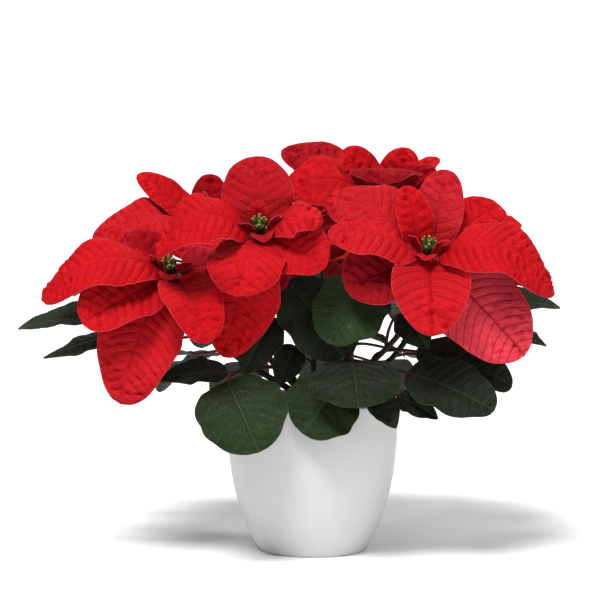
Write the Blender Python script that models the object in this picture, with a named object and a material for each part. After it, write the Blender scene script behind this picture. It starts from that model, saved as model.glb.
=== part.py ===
"""A potted poinsettia: flower heads of red bracts over dark green leaves, in a plain white pot.

The origin is at the centre of the pot's flat underside, +Z is up and -Y is the front.
Sizes and places below are in millimetres. The meshes are in metres.
"""

import math
import random
from dataclasses import dataclass

import bmesh
import bpy
from mathutils import Matrix, Vector

MM = 0.001
CLEARANCE = 0.3  # between neighbouring solids
MERGE = 0.01  # for doubled points
SHARP_ANGLE = math.radians(40)

# The pot: its radius grows quickly above the foot and hardly at all near the rim.
POT_HEIGHT = 124.0
POT_FOOT_RADIUS = 44.2
POT_RIM_RADIUS = 70.3
POT_FLARE = 2.8
POT_WALL = 4.0
POT_FLOOR = 5.0
POT_EDGE = 1.2
POT_RINGS = 5
POT_RING_EASE = 1.2  # the outer rings lie closer together near the foot
ROUND_SIDES = 28

# The soil, with a plain blind hole for the trunk
SOIL_LEVEL = 105.0
SOIL_TOP_RINGS = (0.75, 0.5, 0.28)  # of the soil's radius
SOIL_LUMP = 1.6
SOIL_WAVES = ((0.31, 1.7), (0.37, 0.4))  # the lumps' turn for each millimetre and their start, on X and Y
SOIL_FLAT = 1.0  # beside the hole and the pot's wall
HOLE_DEPTH = 42.0

# The trunk, which ends in the swollen knuckle that its branches spring from
TRUNK_RADIUS = 6.0
TRUNK_SIDES = 12
KNUCKLE_HEIGHT = 121.0
KNUCKLE_RADIUS = 9.5
TRUNK_BARE = 3.0  # above the soil, before it swells
KNUCKLE_START = -45.0  # degrees up the knuckle's side, where the trunk meets it
KNUCKLE_STEPS = 6

# The branches and the stalks of their leaves
BRANCH_RADIUS_LOW = 2.7
BRANCH_RADIUS_HIGH = 2.1
BRANCH_START, BRANCH_END = 0.3, 0.45  # how far it runs straight at its ends, of its reach
BRANCH_POINTS = 7
BRANCH_ROUNDING = 1  # of its section
STALK_RADIUS_LOW = 1.4
STALK_RADIUS_HIGH = 1.0
STALK_END = 0.3
STALK_POINTS = 4
STALK_ROUNDING = 0
STALK_INTO_BLADE = 7.0

# The flower heads
HUB_RADIUS = 5.2
HUB_HEIGHT = 11.0
HUB_SIDES = 5
HUB_FOOT = 0.6  # its radius at the bottom, of that at the top
ROOT_AWAY = 0.4  # how far from the hub's axis a bract's root lies, of the hub's radius
ROOT_LOW, ROOT_RISE = -0.4, 0.5  # the lowest root and the rise to the highest, of the hub's height
BUD_RADIUS = 1.7
BUD_HEIGHT = 5.0
BUD_COUNT = 5
BUD_SIDES = 4
MIDDLE_BUD = 1.4  # the middle one's size against the others
BUD_SPREAD = 3.9
BUD_FOOT = 0.7  # its radius at the bottom, of that at the top
BUD_STAGGER = 3  # heights in turn, a millimetre apart
BED_HEIGHT = 2.5
BED_FOOT, BED_TOP = 0.8, 0.9  # its radii, of the hub's

# The blades, which are bracts and leaves alike
BLADE_THICKNESS = 0.8
BLADE_GRIDS = ((69.0, (4, 5)), (54.0, (2, 5)), (24.0, (2, 4)), (0.0, (2, 3)))  # least width, columns, rows
BLADE_ROOT_HALF = 1.7  # half the width where a blade leaves its stalk
BRACT_STALK = 0.16  # of a bract's length, before it widens
BRACT_RISE, BRACT_FALL = 0.60, 0.42  # powers of the outline toward the base and toward the tip
POINTED = 0.16  # added to a bract's power toward its tip, at most
LEAF_RISE, LEAF_FALL = 0.52, 0.50
NARROW_LEAF = 40.0  # leaves narrower than this have pointed tips
NARROW_POINTED = 0.3
EDGE_WAVE = 0.05  # of the blade's width
EDGE_WAVES = 2.3
LOBES = 3
LOBE = 0.03  # how far a leaf's edge swells and narrows in each, of its width
CREST = 0.42  # where along the blade it arches most
CREST_PULL = 2.0  # how far the curve's middle point lies out, of the arch it makes
SLOPE_STEP = 0.02  # of the blade's length, to either side of a point, for the slope there
SHOULDER = 10.5  # how far a bract runs outward before it turns its own way
SHOULDER_SHARE = 0.35  # of its length, in which it turns its upper side from the hub's axis to its own


@dataclass
class Blade:
    """A bract or leaf: where its tip lies, its width, the way its upper side faces, how far its
    midrib arches that way, and how far its two halves fold up from the midrib."""

    tip: tuple
    width: float
    face: tuple
    arch: float = 0.0
    fold: float = 0.0


@dataclass
class Leaf:
    """A leaf on its branch: how far up the branch its stalk starts, the base of its blade, and the blade."""

    start: float
    base: tuple
    blade: Blade


@dataclass
class Head:
    """A flower head: its hub's centre, the way it looks, where its branch leaves the knuckle, in
    degrees round and up, its bracts, whose tips are given from the hub, and its branch's leaves."""

    hub: tuple
    axis: tuple
    leaves_knuckle: tuple
    bracts: list
    leaves: list


HEADS = {
    "left": Head(
        hub=(-113, -38, 232),
        axis=(-0.18, -0.55, 0.81),
        leaves_knuckle=(190, 32),
        bracts=[
            Blade((-104, -12, -22), 56, (0.0, -0.6, 0.8), 34, -4),
            Blade((-69, -34, -40), 60, (-0.1, -0.85, 0.5), 6, 12),
            Blade((-40, -26, -104), 70, (-0.35, -1.0, 0.2), 18, -3),
            Blade((31, -66, -51), 46, (0.1, -0.85, 0.5), 16, 8),
            Blade((-36, 14, 30), 36, (0.4, -0.8, 0.4), 3, 3),
            Blade((42, -4, 8), 34, (0.1, -0.9, 0.3), 3, 3),
            Blade((-52, 36, 8), 36, (-0.2, 0.2, 0.95), 10, 3),
            Blade((-14, 36, -2), 30, (0.0, 0.3, 0.95), 5, 3),
            Blade((-19, -8, 14), 12, (0.5, 0.1, 0.8), 2, 1),
            Blade((16, -14, 8), 14, (-0.2, 0.1, 0.9), 3, 1),
            Blade((-4, -18, -6), 16, (0.0, -0.6, 0.8), 4, 2),
        ],
        leaves=[
            Leaf(0.72, (-160, -24, 194), Blade((-239, -26, 184), 30, (0.0, -0.5, 0.85), 5, 3)),
            Leaf(0.66, (-142, -28, 184), Blade((-217, -42, 162), 30, (-0.1, -0.4, 0.9), 4, -3)),
            Leaf(0.56, (-124, -16, 174), Blade((-187, -18, 165), 28, (0.0, -0.3, 0.95), 4, 2)),
            Leaf(0.45, (-98, 6, 160), Blade((-150, 12, 140), 34, (-0.3, 0.1, 0.9), 6, 3)),
        ],
    ),
    "centre": Head(
        hub=(-42, -70, 267),
        axis=(0.0, -0.6, 0.8),
        leaves_knuckle=(240, 30),
        bracts=[
            Blade((-29, 14, -102), 70, (-0.45, -1.0, 0.15), 4, -3),
            Blade((-17, -46, -48), 62, (-0.1, -0.75, 0.65), 12, -5),
            Blade((-82, -6, -20), 54, (-0.1, -0.65, 0.75), 38, -3),
            Blade((-3, 22, 58), 58, (0.0, -0.95, 0.25), 4, 3),
            Blade((18, 10, -48), 24, (0.1, -0.9, 0.3), 3, 2),
            Blade((-2, 6, 24), 16, (0.0, -0.9, 0.4), 2, 2),
            Blade((52, -22, -28), 54, (0.1, -0.85, 0.5), 4, 5),
            Blade((50, -14, 8), 40, (0.1, -0.6, 0.8), 14, -4),
            Blade((-26, 44, 14), 34, (0.0, 0.2, 0.95), 8, 3),
            Blade((26, 44, 20), 34, (0.0, 0.2, 0.95), 8, 3),
            Blade((19, -8, 13), 12, (-0.5, 0.1, 0.8), 2, 1),
            Blade((-17, -14, 6), 14, (0.3, 0.1, 0.9), 3, 1),
            Blade((4, -20, -8), 18, (0.0, -0.6, 0.8), 4, 2),
        ],
        leaves=[
            Leaf(0.66, (-20, -42, 225), Blade((24, -50, 163), 60, (0.2, -0.9, 0.4), 4, 4)),
            Leaf(0.50, (-30, -48, 196), Blade((-56, -56, 150), 36, (-0.2, -0.9, 0.3), 3, 3)),
            Leaf(0.34, (-14, -38, 172), Blade((-28, -46, 141), 26, (0.1, -0.9, 0.3), 2, 3)),
            Leaf(0.22, (-68, -56, 152), Blade((-122, -64, 146), 30, (0.0, -0.6, 0.8), 4, 3)),
            Leaf(0.14, (-68, -70, 147), Blade((-42, -107, 95), 72, (0.0, -0.85, 0.5), 5, 4)),
        ],
    ),
    "right": Head(
        hub=(92, -60, 248),
        axis=(0.05, -0.35, 0.92),
        leaves_knuckle=(320, 30),
        bracts=[
            Blade((2, -42, -62), 62, (0.0, -0.85, 0.5), 8, 16),
            Blade((76, -14, -80), 76, (0.3, -1.0, 0.25), 5, -3),
            Blade((100, -8, -32), 60, (0.1, -0.65, 0.75), 40, -4),
            Blade((60, 32, 36), 46, (-0.1, -0.8, 0.55), 6, 3),
            Blade((76, 48, 22), 40, (0.0, -0.5, 0.85), 6, 3),
            Blade((16, 20, 66), 42, (-0.1, -0.95, 0.2), 5, 4),
            Blade((-20, 0, 54), 32, (0.3, -0.9, 0.2), 3, 3),
            Blade((-80, 22, 43), 62, (0.0, -0.75, 0.65), 20, -3),
            Blade((-80, -24, 16), 48, (0.0, -0.6, 0.8), 13, -4),
            Blade((-66, -16, -27), 60, (-0.1, -0.9, 0.4), 5, 8),
            Blade((20, 52, 0), 36, (0.0, 0.3, 0.95), 7, 3),
            Blade((-17, -6, 15), 14, (0.5, 0.1, 0.8), 2, 2),
            Blade((16, -12, 11), 14, (-0.4, 0.1, 0.8), 3, 2),
            Blade((-3, -21, -4), 18, (0.0, -0.5, 0.85), 4, 2),
        ],
        leaves=[
            Leaf(0.74, (50, -42, 226), Blade((12, -76, 178), 60, (-0.1, -0.9, 0.45), 4, 4)),
            Leaf(0.70, (128, -28, 208), Blade((200, -34, 202), 34, (0.0, -0.5, 0.85), 5, 3)),
            Leaf(0.58, (122, -14, 192), Blade((190, -24, 170), 34, (0.1, -0.4, 0.9), 5, 3)),
            Leaf(0.50, (72, -52, 200), Blade((92, -64, 172), 30, (0.1, -0.9, 0.3), 2, 3)),
            Leaf(0.40, (84, -40, 168), Blade((160, -52, 140), 44, (0.0, -0.7, 0.7), 6, 4)),
            Leaf(0.30, (76, -58, 152), Blade((144, -88, 126), 50, (0.0, -0.8, 0.6), 5, 3)),
            Leaf(0.20, (68, -60, 134), Blade((100, -72, 117), 22, (0.1, -0.8, 0.5), 2, 2)),
            Leaf(0.16, (48, -76, 138), Blade((66, -92, 112), 26, (0.2, -0.9, 0.4), 2, 3)),
            Leaf(0.26, (31, -66, 164), Blade((36, -112, 131), 74, (0.0, -0.65, 0.75), 6, -4)),
            Leaf(0.10, (24, -72, 146), Blade((-8, -84, 107), 60, (0.0, -0.9, 0.45), 3, 4)),
        ],
    ),
    "top": Head(
        hub=(63, 55, 288),
        axis=(0.1, -0.15, 0.98),
        leaves_knuckle=(38, 36),
        bracts=[
            Blade((-89, 14, 38), 48, (0.0, -0.75, 0.65), 11, -3),
            Blade((-90, -10, 5), 56, (0.0, -0.75, 0.65), 24, -4),
            Blade((-39, -4, 38), 36, (0.1, -0.8, 0.6), 3, 3),
            Blade((18, 8, 40), 36, (-0.1, -0.85, 0.5), 3, 3),
            Blade((40, -18, 23), 22, (0.0, -0.8, 0.6), 4, 3),
            Blade((44, 8, 31), 24, (0.0, -0.6, 0.8), 3, 3),
            Blade((-4, -50, 12), 60, (0.0, -0.1, 1.0), 21, -2),
            Blade((66, 22, -10), 44, (0.3, 0.1, 0.9), 12, -4),
            Blade((30, 68, -15), 44, (0.2, 0.4, 0.9), 8, -4),
            Blade((-24, 66, 6), 46, (-0.1, 0.4, 0.9), 14, -4),
        ],
        leaves=[
            Leaf(0.72, (112, 74, 246), Blade((182, 88, 212), 44, (0.2, 0.1, 0.95), 6, 3)),
            Leaf(0.66, (92, 104, 238), Blade((128, 164, 198), 46, (0.2, 0.3, 0.9), 8, 3)),
            Leaf(0.30, (72, 58, 158), Blade((130, 84, 118), 48, (0.4, 0.3, 0.85), 7, 3)),
            Leaf(0.55, (64, 34, 210), Blade((78, -10, 200), 36, (0.2, -0.1, 0.95), 4, 3)),
            Leaf(0.44, (62, 84, 200), Blade((92, 138, 162), 46, (0.2, 0.4, 0.85), 7, 3)),
        ],
    ),
    "back_left": Head(
        hub=(-90, 48, 268),
        axis=(-0.15, -0.1, 0.98),
        leaves_knuckle=(140, 34),
        bracts=[
            Blade((-93, -12, -14), 50, (0.0, -0.75, 0.65), 16, -3),
            Blade((-57, 4, 38), 30, (0.2, -0.8, 0.6), 3, 3),
            Blade((5, 21, 38), 32, (0.0, -0.9, 0.4), 3, 3),
            Blade((-66, 44, 0), 42, (-0.3, 0.2, 0.9), 12, -3),
            Blade((-12, 70, 2), 46, (0.0, 0.4, 0.9), 14, -4),
            Blade((48, 50, 8), 42, (0.2, 0.3, 0.9), 12, -3),
            Blade((56, 6, 12), 38, (0.2, -0.2, 0.9), 10, -3),
            Blade((-62, -38, -7), 36, (-0.1, -0.4, 0.9), 8, -3),
            Blade((-14, -46, -30), 62, (0.0, -0.9, 0.4), 10, -3),
            Blade((-1, -16, 26), 12, (0.1, -0.4, 0.8), 2, 1),
        ],
        leaves=[
            Leaf(0.70, (-136, 78, 234), Blade((-204, 96, 200), 44, (-0.2, 0.1, 0.95), 6, 3)),
            Leaf(0.62, (-112, 100, 226), Blade((-140, 164, 188), 46, (-0.1, 0.3, 0.9), 8, 3)),
            Leaf(0.52, (-134, 26, 206), Blade((-204, 22, 184), 38, (-0.1, -0.2, 0.95), 6, 3)),
            Leaf(0.28, (-74, 52, 156), Blade((-130, 76, 120), 46, (-0.4, 0.3, 0.85), 7, 3)),
            Leaf(0.42, (-66, 74, 188), Blade((-96, 130, 152), 46, (-0.2, 0.4, 0.85), 7, 3)),
        ],
    ),
    "middle": Head(
        hub=(8, 6, 240),
        axis=(0.0, 0.0, 1.0),
        leaves_knuckle=(0, 90),
        bracts=[
            Blade((-58, -14, 12), 40, (-0.1, -0.2, 0.95), 10, -3),
            Blade((-44, 34, 4), 40, (-0.2, 0.2, 0.95), 10, -3),
            Blade((4, 58, -6), 42, (0.0, 0.3, 0.95), 10, -3),
            Blade((44, 34, 8), 38, (0.2, 0.2, 0.95), 8, -3),
            Blade((50, -8, -4), 40, (0.2, -0.1, 0.95), 8, -3),
            Blade((6, -46, 14), 38, (0.0, -0.3, 0.95), 6, -3),
        ],
        leaves=[
            Leaf(0.55, (-26, 6, 196), Blade((-76, 8, 174), 36, (-0.2, 0.0, 0.95), 6, 3)),
            Leaf(0.45, (20, 38, 176), Blade((24, 86, 154), 30, (0.0, 0.3, 0.9), 6, 3)),
            Leaf(0.40, (30, -2, 176), Blade((76, -2, 158), 36, (0.2, 0.0, 0.95), 6, 3)),
            Leaf(0.62, (-22, 28, 212), Blade((-58, 62, 196), 42, (-0.2, 0.2, 0.95), 6, 3)),
            Leaf(0.70, (18, 32, 216), Blade((32, 86, 202), 44, (0.1, 0.2, 0.95), 6, 3)),
        ],
    ),
    "side": Head(
        hub=(112, 24, 226),
        axis=(0.5, 0.1, 0.86),
        leaves_knuckle=(359, 10),
        bracts=[
            Blade((70, -20, -14), 42, (0.4, -0.1, 0.9), 12, -3),
            Blade((60, 28, -28), 40, (0.4, 0.2, 0.85), 7, -3),
            Blade((24, 54, -4), 42, (0.2, 0.3, 0.9), 10, -3),
            Blade((-30, 40, 12), 36, (-0.1, 0.3, 0.9), 6, -3),
            Blade((-36, -10, 18), 32, (0.0, -0.1, 0.95), 5, -3),
            Blade((30, -34, -20), 36, (0.2, -0.4, 0.85), 6, -3),
            Blade((34, 6, 28), 30, (-0.5, -0.3, 0.7), 3, 3),
            Blade((50, -8, -58), 46, (0.85, 0.0, 0.5), 10, -3),
        ],
        leaves=[
            Leaf(0.70, (142, 54, 186), Blade((190, 68, 162), 40, (0.3, 0.1, 0.95), 6, 3)),
            Leaf(0.62, (126, 64, 182), Blade((166, 112, 150), 44, (0.3, 0.3, 0.9), 7, 3)),
            Leaf(0.45, (86, 16, 160), Blade((132, 14, 126), 38, (0.6, 0.0, 0.8), 6, 3)),
        ],
    ),
    "back": Head(
        hub=(3, 118, 247),
        axis=(0.0, 0.35, 0.93),
        leaves_knuckle=(88, 32),
        bracts=[
            Blade((-86, 6, -20), 46, (-0.1, 0.5, 0.85), 16, -4),
            Blade((-56, 58, -14), 44, (-0.2, 0.6, 0.8), 14, -4),
            Blade((4, 78, -38), 44, (0.0, 0.7, 0.7), 8, -4),
            Blade((60, 56, -12), 44, (0.2, 0.6, 0.8), 14, -4),
            Blade((88, 4, -26), 46, (0.1, 0.5, 0.85), 16, -4),
            Blade((38, 4, 30), 32, (-0.3, 0.7, 0.6), 3, 3),
            Blade((2, -8, 42), 34, (0.0, 0.9, 0.4), 3, 3),
            Blade((-40, 44, -62), 52, (-0.1, 1.0, 0.3), 12, -3),
            Blade((44, 42, -58), 50, (0.1, 1.0, 0.3), 12, -3),
        ],
        leaves=[
            Leaf(0.70, (60, 128, 206), Blade((120, 162, 168), 44, (0.2, 0.4, 0.9), 8, 3)),
            Leaf(0.64, (-48, 130, 204), Blade((-108, 166, 166), 46, (-0.2, 0.4, 0.9), 8, 3)),
            Leaf(0.34, (8, 94, 160), Blade((12, 150, 110), 54, (0.0, 0.8, 0.6), 7, 3)),
            Leaf(0.28, (52, 78, 146), Blade((92, 118, 104), 44, (0.3, 0.7, 0.6), 6, 3)),
            Leaf(0.22, (-44, 82, 144), Blade((-80, 122, 100), 46, (-0.3, 0.7, 0.6), 6, 3)),
        ],
    ),
}


def clear_scene():
    for thing in list(bpy.data.objects):
        bpy.data.objects.remove(thing, do_unlink=True)


def material(name, colour, roughness, metallic=0.0):
    """A Principled material of one colour."""
    made = bpy.data.materials.new(name)
    made.use_nodes = True
    shader = made.node_tree.nodes["Principled BSDF"]
    shader.inputs["Base Color"].default_value = (*colour, 1.0)
    shader.inputs["Roughness"].default_value = roughness
    shader.inputs["Metallic"].default_value = metallic
    made.diffuse_color = (*colour, 1.0)
    return made


def mesh_from(name, shape):
    """The bmesh as a mesh in metres."""
    mesh = bpy.data.meshes.new(name)
    bmesh.ops.transform(shape, matrix=Matrix.Scale(MM, 4), verts=shape.verts)
    shape.to_mesh(mesh)
    shape.free()
    return mesh


def place(name, mesh, finish, parent, location=(0, 0, 0)):
    """The finished piece as an object at its place under the plant's empty."""
    piece = bpy.data.objects.new(name, mesh)
    mesh.materials.clear()
    mesh.materials.append(finish)
    mesh.shade_smooth()
    mesh.set_sharp_from_angle(angle=SHARP_ANGLE)
    piece.location = Vector(location) * MM
    piece.parent = parent
    bpy.context.scene.collection.objects.link(piece)
    return piece


def turned(outline, sides):
    """A closed solid turned about Z from (radius, height) points that start and end on the axis."""
    shape = bmesh.new()
    points = [shape.verts.new((radius, 0.0, height)) for radius, height in outline]
    edges = [shape.edges.new(pair) for pair in zip(points, points[1:])]
    bmesh.ops.spin(
        shape,
        geom=points + edges,
        axis=(0, 0, 1),
        cent=(0, 0, 0),
        steps=sides,
        angle=math.tau,
        use_merge=True,
    )
    bmesh.ops.remove_doubles(shape, verts=shape.verts, dist=MERGE)
    bmesh.ops.recalc_face_normals(shape, faces=shape.faces)
    return shape


def pot_radius(height):
    """The pot's outer radius at a height above its underside."""
    rise = min(height / POT_HEIGHT, 1.0)
    return POT_FOOT_RADIUS + (POT_RIM_RADIUS - POT_FOOT_RADIUS) * (1 - (1 - rise) ** POT_FLARE)


def pot_mesh():
    """The round pot with a flat underside and a wall of even thickness."""
    outer = [(0.0, 0.0), (POT_FOOT_RADIUS - POT_EDGE, 0.0)]
    for ring in range(POT_RINGS):
        height = POT_EDGE + (POT_HEIGHT - 2 * POT_EDGE) * (ring / (POT_RINGS - 1)) ** POT_RING_EASE
        outer.append((pot_radius(height), height))
    outer.append((POT_RIM_RADIUS - POT_EDGE, POT_HEIGHT))
    outer.append((POT_RIM_RADIUS - POT_WALL + POT_EDGE, POT_HEIGHT))
    for ring in range(POT_RINGS):
        height = POT_HEIGHT - POT_EDGE - (POT_HEIGHT - POT_EDGE - POT_FLOOR) * ring / (POT_RINGS - 1)
        outer.append((pot_radius(height) - POT_WALL, height))
    outer.append((0.0, POT_FLOOR))
    return mesh_from("pot", turned(outer, ROUND_SIDES))


def soil_mesh():
    """The soil that fills the pot to SOIL_LEVEL, with its lumpy top and the trunk's hole."""
    floor = POT_FLOOR + CLEARANCE
    hole = TRUNK_RADIUS + CLEARANCE
    rim = pot_radius(SOIL_LEVEL) - POT_WALL - 2 * CLEARANCE
    outline = [(0.0, floor), (pot_radius(floor) - POT_WALL - 2 * CLEARANCE, floor), (rim, SOIL_LEVEL)]
    outline += [(rim * share, SOIL_LEVEL) for share in SOIL_TOP_RINGS]
    outline += [(hole, SOIL_LEVEL), (hole, SOIL_LEVEL - HOLE_DEPTH), (0.0, SOIL_LEVEL - HOLE_DEPTH)]
    shape = turned(outline, ROUND_SIDES)
    for vert in shape.verts:
        away = math.hypot(vert.co.x, vert.co.y)
        if vert.co.z > SOIL_LEVEL - MERGE and hole + SOIL_FLAT < away < rim - SOIL_FLAT:
            lump = [math.sin(turn * place + start) for place, (turn, start) in zip(vert.co.xy, SOIL_WAVES)]
            vert.co.z += SOIL_LUMP * lump[0] * lump[1]
    return mesh_from("soil", shape)


def trunk_mesh():
    """The trunk from the bottom of its hole up to the round knuckle."""
    outline = [(0.0, SOIL_LEVEL - HOLE_DEPTH + CLEARANCE)]
    outline.append((TRUNK_RADIUS, SOIL_LEVEL - HOLE_DEPTH + CLEARANCE))
    outline.append((TRUNK_RADIUS, SOIL_LEVEL + TRUNK_BARE))
    for step in range(KNUCKLE_STEPS):
        turn = math.radians(KNUCKLE_START + (90 - KNUCKLE_START) * step / KNUCKLE_STEPS)
        outline.append((KNUCKLE_RADIUS * math.cos(turn), KNUCKLE_HEIGHT + KNUCKLE_RADIUS * math.sin(turn)))
    outline.append((0.0, KNUCKLE_HEIGHT + KNUCKLE_RADIUS))
    return mesh_from("trunk", turned(outline, TRUNK_SIDES))


def bezier(points, t):
    """The point at t on the Bezier curve of any number of control points."""
    points = [Vector(point) for point in points]
    while len(points) > 1:
        points = [a.lerp(b, t) for a, b in zip(points, points[1:])]
    return points[0]


def tube_mesh(name, controls, count, radii, rounding):
    """A stalk along a Bezier curve, tapering from one radius to the other, as a closed mesh."""
    low, high = radii
    curve = bpy.data.curves.new(name, "CURVE")
    curve.dimensions = "3D"
    curve.bevel_depth = MM
    curve.bevel_resolution = rounding
    curve.use_fill_caps = True
    line = curve.splines.new("POLY")
    line.points.add(count - 1)
    for index, point in enumerate(line.points):
        t = index / (count - 1)
        point.co = (*(bezier(controls, t) * MM), 1.0)
        point.radius = low + (high - low) * t
    holder = bpy.data.objects.new(name, curve)
    mesh = bpy.data.meshes.new_from_object(holder)
    bpy.data.objects.remove(holder)
    shape = bmesh.new()
    shape.from_mesh(mesh)
    bmesh.ops.remove_doubles(shape, verts=shape.verts, dist=MERGE * MM)
    bmesh.ops.recalc_face_normals(shape, faces=shape.faces)
    shape.to_mesh(mesh)
    shape.free()
    return mesh


def outline_share(t, rise, fall):
    """The blade's half width at t from base to tip, as a share of its widest."""
    peak = rise / (rise + fall)
    return (t**rise * (1 - t) ** fall) / (peak**rise * (1 - peak) ** fall)


def blade_spine(base, blade, out=None):
    """The Bezier points of a blade's midrib. A bract first runs outward from its hub."""
    tip = Vector(blade.tip)
    crest = base.lerp(tip, CREST) + Vector(blade.face).normalized() * blade.arch * CREST_PULL
    if out is None:
        return base, crest, tip
    return base, base + out * SHOULDER, crest, tip


def tip_power(blade, axis, draw):
    """The power of a blade's outline toward its tip: the greater, the more pointed."""
    if axis is not None:
        return BRACT_FALL + POINTED * draw.random()
    return LEAF_FALL + (NARROW_POINTED if blade.width < NARROW_LEAF else 0.0)


def blade_point(spine, blade, t, across, waves, axis, fall):
    """The point of a blade at t along its midrib and at across, from -1 to 1, to its side."""
    leafy = axis is None
    here = bezier(spine, t)
    face = Vector(blade.face).normalized()
    if not leafy:
        face = axis.lerp(face, min(t / SHOULDER_SHARE, 1.0)).normalized()
    ahead, behind = min(t + SLOPE_STEP, 1.0), max(t - SLOPE_STEP, 0.0)
    along = (bezier(spine, ahead) - bezier(spine, behind)).normalized()
    side = face.cross(along).normalized()
    up = along.cross(side)
    if leafy:
        share = outline_share(t, LEAF_RISE, fall)
    else:
        share = outline_share(max(t - BRACT_STALK, 0) / (1 - BRACT_STALK), BRACT_RISE, fall)
    half = blade.width / 2 * share
    if leafy:
        half *= 1 + LOBE * math.cos(math.tau * LOBES * t)
    half = half if t == 1.0 else max(half, BLADE_ROOT_HALF)
    edge = abs(across)
    ripple = math.sin(math.tau * EDGE_WAVES * t + waves[across > 0])
    lift = blade.fold * share * (edge + edge * edge) / 2
    lift += EDGE_WAVE * blade.width * share * ripple * edge * edge
    return here + side * across * half + up * lift


def blade_mesh(name, spine, blade, seed, axis=None):
    """A thin closed blade with a waved edge, split into triangles alike on both faces. A bract
    has its hub's axis."""
    draw = random.Random(seed)
    waves = (draw.uniform(0, math.tau), draw.uniform(0, math.tau))
    fall = tip_power(blade, axis, draw)
    shape = bmesh.new()
    columns, rows = next(grid for least, grid in BLADE_GRIDS if blade.width >= least)
    bmesh.ops.create_grid(shape, x_segments=columns, y_segments=rows, size=1.0)
    for vert in shape.verts:
        across = round(vert.co.x, 4)
        t = round((vert.co.y + 1) / 2, 4)
        vert.co = blade_point(spine, blade, t, across, waves, axis, fall)
    bmesh.ops.remove_doubles(shape, verts=shape.verts, dist=MERGE)
    bmesh.ops.triangulate(shape, faces=shape.faces, quad_method="SHORT_EDGE")
    bmesh.ops.solidify(shape, geom=shape.faces, thickness=BLADE_THICKNESS)
    bmesh.ops.recalc_face_normals(shape, faces=shape.faces)
    return mesh_from(name, shape)


def upright(axis):
    """The turn that brings +Z onto an axis."""
    return Vector((0, 0, 1)).rotation_difference(Vector(axis)).to_matrix().to_4x4()


def hub_mesh(head):
    """The short green end of the branch, red with its bracts, that they all spring from."""
    shape = bmesh.new()
    bmesh.ops.create_cone(
        shape,
        cap_ends=True,
        segments=HUB_SIDES,
        radius1=HUB_RADIUS * HUB_FOOT,
        radius2=HUB_RADIUS,
        depth=HUB_HEIGHT,
        matrix=upright(head.axis),
    )
    return mesh_from("hub", shape)


def bloom_meshes(name, head):
    """The hub and every bract of a flower head, each closed, about the hub's centre."""
    meshes = [hub_mesh(head)]
    axis = Vector(head.axis).normalized()
    heights = sorted(Vector(bract.tip).dot(axis) for bract in head.bracts)
    for index, bract in enumerate(head.bracts):
        out = Vector(bract.tip)
        height = heights.index(out.dot(axis)) / len(heights)
        out = (out - out.dot(axis) * axis).normalized()
        root = out * HUB_RADIUS * ROOT_AWAY + axis * HUB_HEIGHT * (ROOT_LOW + ROOT_RISE * height)
        spine = blade_spine(root, bract, out)
        meshes.append(blade_mesh(f"{name}_bract_{index + 1}", spine, bract, f"{name}{index}", axis))
    return meshes


def bud_meshes(head):
    """The bed and the small green cyathia on it, one in the middle and a ring round it."""
    turn = upright(head.axis)
    bed = bmesh.new()
    bed_centre = HUB_HEIGHT / 2 + CLEARANCE + BED_HEIGHT / 2
    bmesh.ops.create_cone(
        bed,
        cap_ends=True,
        segments=HUB_SIDES,
        radius1=HUB_RADIUS * BED_FOOT,
        radius2=HUB_RADIUS * BED_TOP,
        depth=BED_HEIGHT,
        matrix=turn @ Matrix.Translation((0, 0, bed_centre)),
    )
    meshes = [mesh_from("bed", bed)]
    for index in range(BUD_COUNT):
        away = BUD_SPREAD if index else 0.0
        angle = math.tau * index / (BUD_COUNT - 1)
        size = 1.0 if index else MIDDLE_BUD
        centre = (away * math.cos(angle), away * math.sin(angle), bed_centre + size * BUD_HEIGHT / 2)
        shape = bmesh.new()
        bmesh.ops.create_cone(
            shape,
            cap_ends=True,
            segments=BUD_SIDES,
            radius1=BUD_RADIUS * size * BUD_FOOT,
            radius2=BUD_RADIUS * size,
            depth=BUD_HEIGHT * size + index % BUD_STAGGER,
            matrix=turn @ Matrix.Translation(centre),
        )
        meshes.append(mesh_from("bud", shape))
    return meshes


def branch_controls(head):
    """The Bezier points of a branch, from the knuckle's side to just under its hub."""
    round_angle, up_angle = (math.radians(angle) for angle in head.leaves_knuckle)
    flat = math.cos(up_angle)
    away = Vector((flat * math.cos(round_angle), flat * math.sin(round_angle), math.sin(up_angle)))
    start = Vector((0, 0, KNUCKLE_HEIGHT)) + away * (KNUCKLE_RADIUS + CLEARANCE)
    axis = Vector(head.axis).normalized()
    end = Vector(head.hub) - axis * (HUB_HEIGHT / 2 + CLEARANCE)
    reach = (end - start).length
    return start, start + away * reach * BRANCH_START, end - axis * reach * BRANCH_END, end


def leaf_meshes(name, head, leaf, index):
    """A leaf's stalk, which starts inside the branch, and its blade."""
    spine = branch_controls(head)
    start = bezier(spine, leaf.start)
    base = Vector(leaf.base)
    blade_line = blade_spine(base, leaf.blade)
    into = (blade_line[1] - base).normalized()
    reach = (base - start).length
    end = base + into * STALK_INTO_BLADE
    controls = (start, start + Vector((0, 0, reach * STALK_END)), base - into * reach * STALK_END, end)
    radii = (STALK_RADIUS_LOW, STALK_RADIUS_HIGH)
    stalk = tube_mesh(f"{name}_stalk_{index}", controls, STALK_POINTS, radii, STALK_ROUNDING)
    blade = blade_mesh(f"{name}_leaf_{index}", blade_line, leaf.blade, f"{name}leaf{index}")
    return [stalk, blade]


def branch_meshes(name, head):
    """A branch with the stalks and blades of its leaves, each closed."""
    radii = (BRANCH_RADIUS_LOW, BRANCH_RADIUS_HIGH)
    meshes = [tube_mesh("branch", branch_controls(head), BRANCH_POINTS, radii, BRANCH_ROUNDING)]
    for index, leaf in enumerate(head.leaves):
        meshes += leaf_meshes(name, head, leaf, index + 1)
    return meshes


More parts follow.
